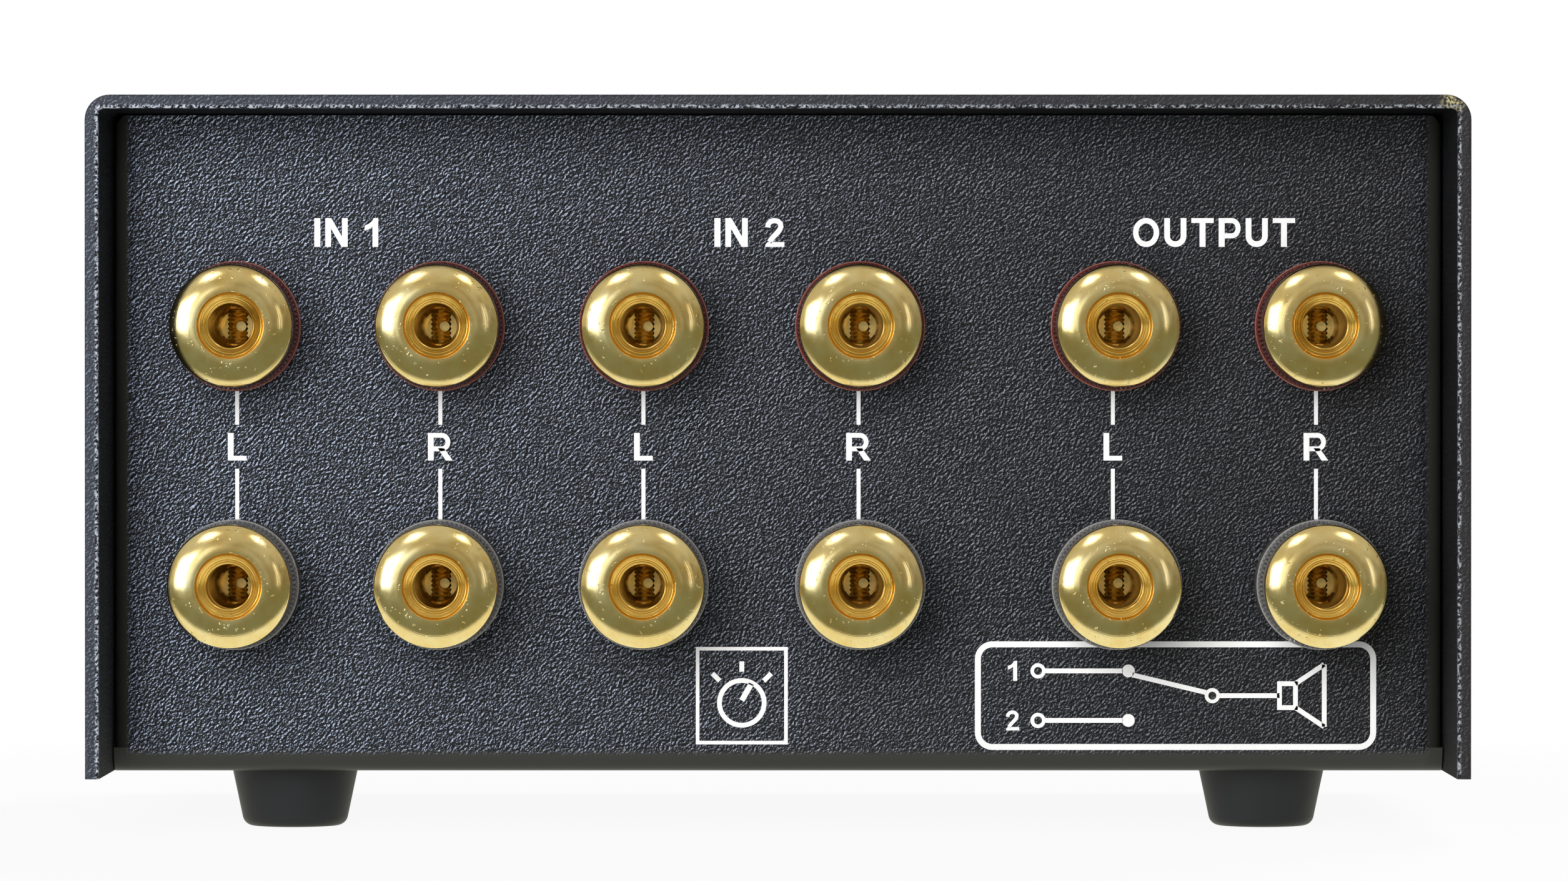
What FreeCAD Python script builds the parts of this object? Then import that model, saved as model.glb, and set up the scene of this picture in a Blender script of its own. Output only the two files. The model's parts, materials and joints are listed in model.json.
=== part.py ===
import FreeCAD, Part
import math
import os
import re
import Sketcher

# Speaker selector switch: a folded steel case with twelve binding posts on its
# recessed rear panel and a rotary selector behind the front plate.
# The rear faces -Y, the front +Y, and the origin is under the middle of the box.

Vector = FreeCAD.Vector
Rotation = FreeCAD.Rotation

doc = FreeCAD.newDocument("speaker_selector")
sheet = doc.addObject("Spreadsheet::Sheet", "Sizes")

driving_sizes = [
    # case
    ("case_width", 170.0, "over the sides of the cover"),
    ("case_height", 84.0, "from the bottom edge to the top of the cover"),
    ("cover_depth", 118.0, "rear rim to front plate"),
    ("cover_sheet", 1.7, "cover sheet with its coating"),
    ("cover_radius", 3.1, "top corners of the cover, outside"),
    ("cover_inner_radius", 0.7, "top corners of the cover, inside"),
    ("rim_round", 0.4, "worn edge of the cover's rear rim"),
    ("rear_overhang", 20.0, "rear rim to rear panel"),
    ("chassis_sheet", 1.5, "chassis sheet"),
    ("case_gap", 0.2, "between chassis and cover"),
    ("bend_radius", 3.0, "chassis bends, outside"),
    ("wall_corner", 2.2, "top corners of the front wall"),
    ("flange_height", 14.0, "side flanges of the chassis"),
    ("bend_relief", 6.0, "rear panel's face to the ends of its side folds, and relief of the side flanges"),
    ("relief_gap", 0.6, "slot at each end of a side flange and under a side fold"),
    ("fold_corner", 1.2, "top corners of the side folds, cut off"),
    ("plate_thickness", 4.0, "aluminium front plate"),
    ("plate_radius", 3.1, "corners of the front plate"),
    ("plate_edge", 0.6, "chamfer round the front plate"),
    # case screws
    ("screw_size", 3.0, "case screw thread"),
    ("screw_head", 5.6, "case screw head, across"),
    ("screw_head_height", 1.9, "case screw head"),
    ("screw_head_round", 0.8, "edge of the case screw head"),
    ("screw_length", 4.4, "case screw under its head"),
    ("screw_play", 0.4, "clearance hole over the thread"),
    ("thread_play", 0.1, "threaded hole over the thread"),
    ("cover_screw_inset", 11.0, "cover screws from the rear panel and front wall"),
    ("cover_screw_rise", 8.0, "cover screws above the bottom"),
    ("plate_screw_inset", 14.0, "front plate screws from the plate's sides"),
    ("plate_screw_rise", 12.0, "front plate screws from its top and bottom"),
    ("plate_screw_depth", 3.2, "blind holes in the front plate"),
    # feet
    ("foot_height", 7.5, "rubber foot"),
    ("foot_top", 16.0, "rubber foot, across the top"),
    ("foot_bottom", 12.85, "rubber foot, across the tread"),
    ("foot_round", 1.4, "rubber foot, tread edge"),
    ("foot_recess", 7.6, "recess for the screw head, across"),
    ("foot_recess_depth", 3.6, "recess for the screw head"),
    ("rear_foot_spread", 61.3, "rear foot axis from the middle of the case"),
    ("front_foot_spread", 65.5, "front foot axis from the middle of the case"),
    ("foot_inset", 15.0, "foot axis from the rear panel and front wall"),
    ("foot_screw_size", 4.0, "foot screw thread"),
    ("foot_screw_head", 7.0, "foot screw head, across"),
    ("foot_screw_head_height", 2.4, "foot screw head"),
    ("foot_screw_end", 3.0, "foot screw past the chassis bottom"),
    # binding posts: places
    ("post_left_inset", 17.5, "column 1 from the left side of the case"),
    ("post_pair_step", 25.4, "columns 1 to 2, and 5 to 6"),
    ("post_third_inset", 16.7, "column 3 to the left of the middle"),
    ("post_fourth_inset", 10.2, "column 4 to the right of the middle"),
    ("post_right_inset", 17.6, "column 6 from the right side of the case"),
    ("post_low_row", 23.6, "lower row above the bottom of the case"),
    ("post_row_step", 32.1, "lower row to upper row"),
    # binding posts: pieces
    ("collar_size", 16.0, "insulating collar, across"),
    ("collar_height", 3.0, "insulating collar"),
    ("collar_round", 0.5, "edge of the collar"),
    ("collar_boss", 9.0, "boss of the collar in the panel, across"),
    ("panel_play", 0.4, "panel hole over the boss"),
    ("tail_size", 6.0, "threaded tail of the stud"),
    ("tail_length", 11.5, "threaded tail behind the panel face"),
    ("tail_play", 0.2, "holes over the tail"),
    ("stud_flange", 12.0, "flange of the stud, across"),
    ("stud_flange_height", 1.0, "flange of the stud"),
    ("stud_size", 7.0, "thread that carries the knob"),
    ("stud_reach", 12.7, "stud end above the panel"),
    ("stud_chamfer", 0.5, "end of the stud"),
    ("banana_size", 4.0, "banana plug bore"),
    ("banana_end", 0.6, "bottom of the bore above the panel"),
    ("wire_hole", 2.6, "cross hole for a bare wire"),
    ("wire_hole_rise", 6.4, "cross hole above the panel"),
    ("washer_size", 11.4, "loose clamp washer, across"),
    ("washer_height", 0.8, "loose clamp washer"),
    ("washer_play", 0.3, "washer hole over the stud thread"),
    ("knob_thread_play", 0.12, "knob thread over the stud thread"),
    ("insert_size", 10.6, "gold tube inside the sleeve, across"),
    ("cap_size", 15.2, "gold cap, across"),
    ("cap_height", 4.4, "gold cap"),
    ("cap_shoulder_width", 1.45, "sloping shoulder of the cap, inwards from its side"),
    ("cap_shoulder_drop", 1.2, "sloping shoulder of the cap, along its axis"),
    ("cap_round", 4.6, "between the face and the shoulder of the cap"),
    ("cap_edge_round", 0.4, "between the shoulder and the side of the cap"),
    ("cap_back_round", 0.7, "rear edge of the cap"),
    ("cap_mouth", 7.6, "chamfered mouth of the cap, across"),
    ("cap_hole", 5.5, "hole in the cap's end wall"),
    ("cap_mouth_depth", 1.0, "chamfer in the mouth"),
    ("cap_end_wall", 2.1, "end wall of the cap"),
    ("knob_end_play", 0.4, "stud end to the cap's end wall"),
    ("sleeve_size", 15.6, "fluted sleeve, across"),
    ("sleeve_rim", 16.2, "plain rim at the foot of the sleeve, across"),
    ("sleeve_rim_height", 0.9, "plain rim at the foot of the sleeve"),
    ("sleeve_gap", 0.7, "sleeve to cap"),
    ("flute_count", 48, "flutes round a sleeve"),
    ("flute_depth", 0.35, "flutes in a sleeve"),
    ("upper_slack", 0.0, "upper row knobs backed off from their seats"),
    ("lower_slack", 3.75, "lower row knobs backed off from their seats"),
    ("insulator_size", 14.0, "inner insulating washer, across"),
    ("insulator_height", 1.5, "inner insulating washer"),
    ("post_nut_size", 10.0, "post nut, across flats"),
    ("post_nut_height", 2.4, "post nut"),
    ("tag_ring", 10.4, "solder tag ring, across"),
    ("tag_sheet", 0.6, "solder tag sheet"),
    ("tag_width", 3.2, "solder tag tail"),
    ("tag_length", 11.0, "solder tag from the stud axis to its end"),
    ("tag_eye", 1.4, "hole in the solder tag tail"),
    # wires
    ("wire_size", 2.4, "insulated wire"),
    ("wire_lead_out", 12.0, "straight run from the tag"),
    ("wire_lead_in", 11.0, "radial run to the switch"),
    # switch
    ("bush_size", 9.0, "threaded bush of the switch"),
    ("bush_play", 0.3, "holes over the bush"),
    ("bush_end", 3.6, "bush past the front plate"),
    ("shaft_size", 6.0, "switch shaft"),
    ("shaft_play", 0.1, "bores over the shaft"),
    ("shaft_reach", 14.5, "shaft past the front plate"),
    ("shaft_flat", 1.0, "flat for the grub screw"),
    ("shaft_flat_length", 10.0, "flat for the grub screw, along the shaft"),
    ("shaft_blade_width", 4.6, "flat tail of the shaft"),
    ("shaft_blade_thickness", 2.4, "flat tail of the shaft"),
    ("frame_width", 38.0, "mounting plate of the switch"),
    ("frame_depth", 24.0, "mounting plate of the switch, across the tie bolts"),
    ("frame_sheet", 1.5, "mounting plate of the switch"),
    ("frame_corner", 3.0, "corners of the mounting plate"),
    ("star_size", 16.0, "detent star wheel, across"),
    ("star_sheet", 2.0, "detent star wheel"),
    ("star_gap", 1.0, "mounting plate to star wheel"),
    ("star_notches", 12, "notches in the star wheel"),
    ("star_notch_depth", 0.9, "notches in the star wheel"),
    ("roller_size", 2.6, "detent roller"),
    ("roller_play", 0.05, "roller to the tips of the star"),
    ("detent_leaf", 0.5, "detent spring leaf"),
    ("detent_leaf_width", 18.0, "detent spring leaf"),
    ("detent_leaf_depth", 4.5, "detent spring leaf, along the shaft"),
    ("switch_nut_size", 12.0, "switch nut, across flats"),
    ("switch_nut_height", 2.3, "switch nut"),
    ("lock_washer_size", 13.6, "washer under the switch nut, across"),
    ("lock_washer_height", 0.6, "washer under the switch nut"),
    ("wafer_size", 36.0, "switch wafer, across"),
    ("wafer_sheet", 1.6, "switch wafer"),
    ("front_wafer", 14.0, "mounting plate face to front wafer"),
    ("wafer_step", 16.0, "front wafer to rear wafer"),
    ("rotor_size", 14.0, "rotor in a wafer, across"),
    ("rotor_play", 0.1, "rotor in its wafer, all round"),
    ("blade_play", 0.1, "slot of a rotor over the shaft's tail"),
    ("clip_width", 2.0, "contact clip"),
    ("clip_sheet", 0.5, "contact clip"),
    ("clip_inner", 8.2, "contact clip, inner end from the axis"),
    ("clip_outer", 20.5, "contact clip, outer end from the axis"),
    ("tie_spread", 15.5, "tie bolt from the axis"),
    ("tie_size", 2.5, "tie bolt"),
    ("tie_head", 4.6, "tie bolt head, across"),
    ("tie_head_height", 1.7, "tie bolt head"),
    ("tie_head_round", 0.5, "edge of the tie bolt head"),
    ("tie_play", 0.2, "holes over the tie bolts"),
    ("spacer_size", 4.6, "spacer on a tie bolt, across"),
    # selector knob
    ("knob_size", 36.0, "selector knob, across"),
    ("knob_length", 17.0, "selector knob"),
    ("knob_gap", 1.0, "selector knob to front plate"),
    ("knob_taper", 0.8, "selector knob, smaller at its front by"),
    ("knob_edge", 1.2, "rounded front edge of the knob"),
    ("knob_dish", 0.8, "dished front face of the knob"),
    ("knob_dish_rim", 2.6, "flat rim round the dish"),
    ("knob_skirt", 4.0, "plain skirt at the knob's foot"),
    ("knob_cavity", 24.0, "hollow over the nut, across"),
    ("knob_cavity_depth", 5.0, "hollow over the nut"),
    ("knob_bore_depth", 13.8, "shaft bore from the knob's foot"),
    ("knob_grip_count", 60, "grip flutes round the knob"),
    ("knob_grip_depth", 0.5, "grip flutes"),
    ("pointer_width", 1.4, "pointer groove"),
    ("pointer_length", 9.0, "pointer groove, from the knob's side inwards"),
    ("pointer_depth", 1.8, "pointer groove below the rim"),
    ("grub_size", 3.0, "grub screw"),
    ("grub_length", 6.0, "grub screw"),
    ("grub_rise", 8.5, "grub screw from the knob's foot"),
    # tooling
    ("tool_over", 1.0, "cuts and joints reach this far past the surfaces they meet"),
]

for row, (alias, number, note) in enumerate(driving_sizes, start=1):
    sheet.set(f"A{row}", note)
    sheet.set(f"B{row}", str(number))
    sheet.setAlias(f"B{row}", alias)
doc.recompute()

aliases = {alias for alias, number, note in driving_sizes}


def bound(text):
    """The expression with each size's name tied to its cell."""
    return re.sub(r"[a-z]\w*", lambda word: f"Sizes.{word[0]}" if word[0] in aliases else word[0], text)


def number(text):
    """The present value of an expression of sizes."""
    return float(sheet.evalExpression(bound(str(text))))


# Places worked out from the sizes, as expressions.
chassis_depth = "(cover_depth - rear_overhang)"
chassis_width = "(case_width - 2 * cover_sheet - 2 * case_gap)"
chassis_height = "(case_height - cover_sheet - case_gap)"
overall_depth = "(cover_depth + plate_thickness + knob_gap + knob_length)"
rim_y = f"(-{overall_depth} / 2)"
panel_y = f"({rim_y} + rear_overhang)"
front_y = f"({rim_y} + cover_depth)"
plate_face_y = f"({front_y} + plate_thickness)"
cover_screw_ys = [f"({panel_y} + cover_screw_inset)", f"({front_y} - cover_screw_inset)"]
switch_z = "(foot_height + case_height / 2)"

left_post, right_post = "(post_left_inset - case_width / 2)", "(case_width / 2 - post_right_inset)"
post_columns = [left_post, f"({left_post} + post_pair_step)", "(-post_third_inset)", "post_fourth_inset",
                f"({right_post} - post_pair_step)", right_post]
upper_row = "(foot_height + post_low_row + post_row_step)"
lower_row = "(foot_height + post_low_row)"
post_places = [(x, upper_row) for x in post_columns] + [(x, lower_row) for x in post_columns]

outwards = Rotation(Vector(1, 0, 0), 90)     # a post's own +Z points to the rear, its +Y up
forwards = Rotation(Vector(1, 0, 0), -90)    # the switch's own +Z points to the front, its +Y down
upright = Rotation()


# Sketches and features

def new_body(label):
    body = doc.addObject("PartDesign::Body", label)
    body.Label = label
    return body


def new_sketch(body, role, loops, offset="0"):
    """A sketch on one of the body's planes. A loop is a list of corners, or a circle's centre and radius."""
    sketch = body.newObject("Sketcher::SketchObject", "Sketch")
    plane = next(item for item in body.Origin.OriginFeatures if item.Role == role)
    sketch.AttachmentSupport = [(plane, "")]
    sketch.MapMode = "FlatFace"
    sketch.setExpression("AttachmentOffset.Base.z", bound(f"0 + {offset}"))
    for loop in loops:
        if isinstance(loop, tuple):
            add_circle(sketch, *loop)
        else:
            add_outline(sketch, loop)
    return sketch


def fix(sketch, kind, text, *where):
    """One dimension from the sketch's origin, tied to its expression."""
    place = sketch.addConstraint(Sketcher.Constraint(kind, *where, number(text)))
    if any(word in aliases for word in re.findall(r"[a-z]\w*", text)):
        sketch.setExpression(f"Constraints[{place}]", bound(text))


def add_outline(sketch, corners):
    points = [Vector(number(x), number(y), 0) for x, y in corners]
    first = sketch.GeometryCount
    count = len(points)
    for i in range(count):
        sketch.addGeometry(Part.LineSegment(points[i], points[(i + 1) % count]), False)
    for i in range(count):
        sketch.addConstraint(Sketcher.Constraint("Coincident", first + i, 2, first + (i + 1) % count, 1))
    for i, (x, y) in enumerate(corners):
        fix(sketch, "DistanceX", x, -1, 1, first + i, 1)
        fix(sketch, "DistanceY", y, -1, 1, first + i, 1)


def add_circle(sketch, x, y, radius):
    centre = Vector(number(x), number(y), 0)
    circle = sketch.addGeometry(Part.Circle(centre, Vector(0, 0, 1), number(radius)), False)
    fix(sketch, "DistanceX", x, -1, 1, circle, 3)
    fix(sketch, "DistanceY", y, -1, 1, circle, 3)
    fix(sketch, "Radius", radius, circle)


def box_outline(x_low, x_high, y_low, y_high):
    return [(x_low, y_low), (x_high, y_low), (x_high, y_high), (x_low, y_high)]


def hexagon(across_flats):
    corner = f"({across_flats} / 2 / cos(30 deg))"
    return [(f"{corner} * cos({60 * i} deg)", f"{corner} * sin({60 * i} deg)") for i in range(6)]


def pad(body, sketch, length, backwards=False, middle=False):
    feature = body.newObject("PartDesign::Pad", "Pad")
    feature.Profile = sketch
    feature.Reversed = backwards
    feature.SideType = "Symmetric" if middle else "One side"
    feature.setExpression("Length", bound(length))
    doc.recompute()
    return feature


def cut(body, sketch, depth=None, backwards=False):
    """A pocket of the given depth, or through everything both ways."""
    before = body.Shape.Volume
    feature = body.newObject("PartDesign::Pocket", "Pocket")
    feature.Profile = sketch
    if depth is None:
        feature.Type = "ThroughAll"
        feature.SideType = "Symmetric"
    else:
        feature.Reversed = backwards
        feature.setExpression("Length", bound(depth))
    doc.recompute()
    if not feature.Shape.Volume < before:
        raise RuntimeError(f"{body.Label}: a pocket cuts nothing")
    return feature


def turned(body, corners):
    """The outline of (radius, height) corners turned about the body's Z axis."""
    feature = body.newObject("PartDesign::Revolution", "Revolution")
    sketch = new_sketch(body, "XZ_Plane", [corners])
    feature.Profile = sketch
    feature.ReferenceAxis = (sketch, ["V_Axis"])
    feature.Angle = 360
    doc.recompute()
    return feature


def edges_at(feature, x=None, y=None, z=None, radius=None, length=None):
    """Names of the edges that lie in the given planes, with the given radius or length."""
    def flat(low, high, text):
        return text is None or (abs(low - number(text)) < 0.01 and abs(high - number(text)) < 0.01)

    names = []
    for i, edge in enumerate(feature.Shape.Edges, start=1):
        box = edge.BoundBox
        fits = flat(box.XMin, box.XMax, x) and flat(box.YMin, box.YMax, y) and flat(box.ZMin, box.ZMax, z)
        if fits and radius is not None:
            fits = hasattr(edge.Curve, "Radius") and abs(edge.Curve.Radius - number(radius)) < 0.01
        if fits and length is not None:
            fits = abs(edge.Length - number(length)) < 0.01
        if fits:
            names.append(f"Edge{i}")
    if not names:
        raise RuntimeError(f"no edge found on {feature.Label}")
    return names


def dress(body, kind, size, base, edges):
    feature = body.newObject(f"PartDesign::{kind}", kind)
    feature.Base = (base, edges)
    feature.setExpression("Radius" if kind == "Fillet" else "Size", bound(size))
    doc.recompute()
    return feature


def around(body, feature, sketch, count):
    """A feature repeated all the way round the sketch's normal."""
    pattern = body.newObject("PartDesign::PolarPattern", "PolarPattern")
    pattern.Originals = [feature]
    pattern.Axis = (sketch, ["N_Axis"])
    pattern.Angle = 360
    pattern.setExpression("Occurrences", bound(count))
    body.Tip = pattern
    doc.recompute()
    return pattern


# Placing pieces and gathering nodes

nodes = {}


def place(item, turn, x, y, z):
    item.Placement = FreeCAD.Placement(Vector(), turn)
    for axis, text in (("x", x), ("y", y), ("z", z)):
        item.setExpression(f"Placement.Base.{axis}", bound(f"0 + {text}"))
    return item


def node(label, item):
    item.Label = label
    nodes[label] = item
    return item


def copy_of(master, turn, x, y, z):
    link = doc.addObject("App::Link", f"{master.Name}_copy")
    link.LinkedObject = master
    return place(link, turn, x, y, z)


def group(label, items):
    compound = doc.addObject("Part::Compound", label)
    compound.Links = items
    return node(label, compound)


def post_copies(master, rise, columns=post_places):
    """Copies of a post's piece on its panel seat, each raised from the panel by its rise."""
    return [copy_of(master, outwards, x, f"{panel_y} - ({rise})", z) for x, z in columns]


# Case

def make_cover():
    body = new_body("cover")
    half, inner = "case_width / 2", "(case_width / 2 - cover_sheet)"
    top, under = "case_height", "(case_height - cover_sheet)"
    outline = [(f"-{half}", "0"), (f"-{half}", top), (half, top), (half, "0"),
               (inner, "0"), (inner, under), (f"-{inner}", under), (f"-{inner}", "0")]
    shell = pad(body, new_sketch(body, "XZ_Plane", [outline]), "cover_depth")
    corners = edges_at(shell, x=half, z=top) + edges_at(shell, x=f"-{half}", z=top)
    shell = dress(body, "Fillet", "cover_radius", shell, corners)
    corners = edges_at(shell, x=inner, z=under) + edges_at(shell, x=f"-{inner}", z=under)
    shell = dress(body, "Fillet", "min(cover_inner_radius; cover_radius)", shell, corners)
    feet = edges_at(shell, y="-cover_depth", z="0")
    rim = [name for name in edges_at(shell, y="-cover_depth") if name not in feet]
    dress(body, "Fillet", "rim_round", shell, rim)
    holes = [(f"{y} - {front_y}", "cover_screw_rise", "(screw_size + screw_play) / 2") for y in cover_screw_ys]
    cut(body, new_sketch(body, "YZ_Plane", holes))
    node("cover", place(body, upright, "0", front_y, "foot_height"))


def make_chassis():
    """Bottom, rear panel and front wall in one fold, with two upturned side flanges."""
    body = new_body("chassis")
    long, high, sheet_t = chassis_depth, chassis_height, "chassis_sheet"
    half = f"({chassis_width} / 2)"
    fold = [("0", "0"), (long, "0"), (long, high), (f"{long} - {sheet_t}", high),
            (f"{long} - {sheet_t}", sheet_t), (sheet_t, sheet_t), (sheet_t, high), ("0", high)]
    tray = pad(body, new_sketch(body, "YZ_Plane", [fold]), chassis_width, middle=True)
    outer = edges_at(tray, y="0", z="0") + edges_at(tray, y=long, z="0")
    tray = dress(body, "Fillet", "bend_radius", tray, outer)
    inner = (edges_at(tray, y=sheet_t, z=sheet_t) + edges_at(tray, y=f"{long} - {sheet_t}", z=sheet_t))
    tray = dress(body, "Fillet", "bend_radius - chassis_sheet", tray, inner)
    dress(body, "Fillet", "wall_corner", tray, edges_at(tray, x=half, z=high) + edges_at(tray, x=f"-{half}", z=high))

    root, past = f"({half} - bend_radius)", f"({half} + tool_over)"
    strips = [box_outline(low, high_x, "bend_relief", f"{long} - bend_relief")
              for low, high_x in ((root, past), (f"-{past}", f"-{root}"))]
    cut(body, new_sketch(body, "XY_Plane", strips), "2 * chassis_sheet", backwards=True)

    end = "(bend_relief + relief_gap)"
    flange = [(root, "0"), (half, "0"), (half, "flange_height"), (f"{half} - {sheet_t}", "flange_height"),
              (f"{half} - {sheet_t}", sheet_t), (root, sheet_t)]
    mirrored = [(f"-({x})", z) for x, z in flange]
    profile = new_sketch(body, "XZ_Plane", [flange, mirrored], f"-({long} - {end})")
    span = f"({long} - 2 * {end})"
    sides = pad(body, profile, span)
    outer = [name for side in ("", "-") for name in edges_at(sides, x=f"{side}{half}", z="0", length=span)]
    sides = dress(body, "Fillet", "bend_radius", sides, outer)
    inner = [name for side in ("", "-")
             for name in edges_at(sides, x=f"{side}({half} - {sheet_t})", z=sheet_t, length=span)]
    dress(body, "Fillet", "bend_radius - chassis_sheet", sides, inner)
    add_side_folds(body, half)

    post_holes = [(x, f"{z} - foot_height", "(collar_boss + panel_play) / 2") for x, z in post_places]
    cut(body, new_sketch(body, "XZ_Plane", post_holes), "2 * chassis_sheet")
    front = [("0", "case_height / 2", "(bush_size + bush_play) / 2")]
    front += [(x, z, "(screw_size + screw_play) / 2") for x, z in plate_screw_places()]
    cut(body, new_sketch(body, "XZ_Plane", front, f"-{long}"), "2 * chassis_sheet", backwards=True)
    under = [(x, f"{y} - {panel_y}", "(foot_screw_size + thread_play) / 2") for x, y in foot_places()]
    cut(body, new_sketch(body, "XY_Plane", under), "2 * chassis_sheet", backwards=True)
    side = [(f"{y} - {panel_y}", "cover_screw_rise", "(screw_size + thread_play) / 2") for y in cover_screw_ys]
    cut(body, new_sketch(body, "YZ_Plane", side))
    node("chassis", place(body, upright, "0", panel_y, "foot_height"))


def add_side_folds(body, half):
    """The rear panel's rounded side edges, each folded forwards above the bottom bend."""
    high, sheet_t, start = chassis_height, "chassis_sheet", "(bend_radius + relief_gap)"
    root, past = f"({half} - bend_radius)", f"({half} + tool_over)"
    strips = [box_outline(low, high_x, "bend_radius", f"{high} + tool_over")
              for low, high_x in ((root, past), (f"-{past}", f"-{root}"))]
    cut(body, new_sketch(body, "XZ_Plane", strips), "2 * chassis_sheet")

    fold = [(root, "0"), (half, "0"), (half, "bend_relief"), (f"{half} - {sheet_t}", "bend_relief"),
            (f"{half} - {sheet_t}", sheet_t), (root, sheet_t)]
    mirrored = [(f"-({x})", y) for x, y in fold]
    span = f"({high} - {start})"
    folds = pad(body, new_sketch(body, "XY_Plane", [fold, mirrored], start), span)
    outer = [name for side in ("", "-") for name in edges_at(folds, x=f"{side}{half}", y="0", length=span)]
    folds = dress(body, "Fillet", "bend_radius", folds, outer)
    inner = [name for side in ("", "-")
             for name in edges_at(folds, x=f"{side}({half} - {sheet_t})", y=sheet_t, length=span)]
    dress(body, "Fillet", "bend_radius - chassis_sheet", folds, inner)

    over = "(2 * tool_over + fold_corner)"
    corner = [(f"{half} - fold_corner", high), (half, f"{high} - fold_corner"), (f"{half} + {over}", high),
              (half, f"{high} + {over}")]
    mirrored = [(f"-({x})", z) for x, z in corner]
    cut(body, new_sketch(body, "XZ_Plane", [corner, mirrored]), "bend_relief + tool_over")


def plate_screw_places():
    return [(f"{side} * (case_width / 2 - plate_screw_inset)", rise)
            for side in (-1, 1) for rise in ("plate_screw_rise", "(case_height - plate_screw_rise)")]


def foot_places():
    pairs = (("rear_foot_spread", f"({panel_y} + foot_inset)"), ("front_foot_spread", f"({front_y} - foot_inset)"))
    return [(f"{side} * {spread}", y) for side in (-1, 1) for spread, y in pairs]


def make_front_plate():
    body = new_body("front_plate")
    half = "case_width / 2"
    plate = pad(body, new_sketch(body, "XZ_Plane", [box_outline(f"-{half}", half, "0", "case_height")]),
                "plate_thickness")
    corners = [name for x in (half, f"-{half}") for z in ("0", "case_height")
               for name in edges_at(plate, x=x, z=z)]
    plate = dress(body, "Fillet", "plate_radius", plate, corners)
    dress(body, "Chamfer", "plate_edge", plate, edges_at(plate, y="0"))
    hole = [("0", "case_height / 2", "(bush_size + bush_play) / 2")]
    cut(body, new_sketch(body, "XZ_Plane", hole))
    taps = [(x, z, "(screw_size + thread_play) / 2") for x, z in plate_screw_places()]
    cut(body, new_sketch(body, "XZ_Plane", taps, "plate_thickness"), "plate_screw_depth")
    node("front_plate", place(body, upright, "0", plate_face_y, "foot_height"))


def pan_head_screw(label, size, head, head_height, length, head_round):
    """A screw along Z with the underside of its head at the origin and its thread below."""
    body = new_body(label)
    screw = turned(body, [("0", f"-({length})"), (f"{size} / 2", f"-({length})"), (f"{size} / 2", "0"),
                          (f"{head} / 2", "0"), (f"{head} / 2", head_height), ("0", head_height)])
    dress(body, "Fillet", head_round, screw, edges_at(screw, z=head_height, radius=f"{head} / 2"))
    return body


def make_case_screws():
    master = pan_head_screw("case_screw", "screw_size", "screw_head", "screw_head_height",
                            "screw_length", "screw_head_round")
    items = []
    for side in (-1, 1):
        for y in cover_screw_ys:
            items.append(copy_of(master, Rotation(Vector(0, 1, 0), 90 * side), f"{side} * case_width / 2",
                                 y, "foot_height + cover_screw_rise"))
    for x, z in plate_screw_places():
        items.append(copy_of(master, outwards, x, f"{front_y} - chassis_sheet", f"foot_height + {z}"))
    group("case_screws", items)


def make_feet():
    body = new_body("rubber_foot")
    hole = "(foot_screw_size + thread_play) / 2"
    foot = turned(body, [(hole, "foot_recess_depth"), ("foot_recess / 2", "foot_recess_depth"),
                         ("foot_recess / 2", "0"), ("foot_bottom / 2", "0"), ("foot_top / 2", "foot_height"),
                         (hole, "foot_height")])
    dress(body, "Fillet", "foot_round", foot, edges_at(foot, z="0", radius="foot_bottom / 2"))
    group("rubber_feet", [copy_of(body, upright, x, y, "0") for x, y in foot_places()])
    reach = "foot_height - foot_recess_depth + chassis_sheet + foot_screw_end"
    screw = pan_head_screw("foot_screw", "foot_screw_size", "foot_screw_head", "foot_screw_head_height",
                           reach, "screw_head_round")
    downwards = Rotation(Vector(1, 0, 0), 180)
    group("foot_screws", [copy_of(screw, downwards, x, y, "foot_recess_depth") for x, y in foot_places()])


# Binding posts, each built along Z with Z = 0 on the face of the rear panel

washer_seat = "(collar_height + stud_flange_height)"
knob_foot = f"({washer_seat} + washer_height)"
cap_back = "(stud_reach + knob_end_play + cap_end_wall - cap_height)"
cap_face = "(stud_reach + knob_end_play + cap_end_wall)"


def make_collars():
    body = new_body("post_collar")
    hole = "(tail_size + tail_play) / 2"
    collar = turned(body, [(hole, "-chassis_sheet"), ("collar_boss / 2", "-chassis_sheet"),
                           ("collar_boss / 2", "0"), ("collar_size / 2", "0"),
                           ("collar_size / 2", "collar_height"), (hole, "collar_height")])
    dress(body, "Fillet", "collar_round", collar, edges_at(collar, z="collar_height", radius="collar_size / 2"))
    group("post_collars_red", post_copies(body, "0", post_places[:6]))
    group("post_collars_smoke", post_copies(body, "0", post_places[6:]))


def make_studs():
    body = new_body("post_stud")
    turned(body, [("0", "-tail_length"), ("tail_size / 2", "-tail_length"), ("tail_size / 2", "collar_height"),
                  ("stud_flange / 2", "collar_height"), ("stud_flange / 2", washer_seat),
                  ("stud_size / 2", washer_seat), ("stud_size / 2", "stud_reach - stud_chamfer"),
                  ("stud_size / 2 - stud_chamfer", "stud_reach"), ("banana_size / 2", "stud_reach"),
                  ("banana_size / 2", "banana_end"), ("0", "banana_end")])
    cut(body, new_sketch(body, "XZ_Plane", [("0", "wire_hole_rise", "wire_hole / 2")]))
    group("post_studs", post_copies(body, "0"))


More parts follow.
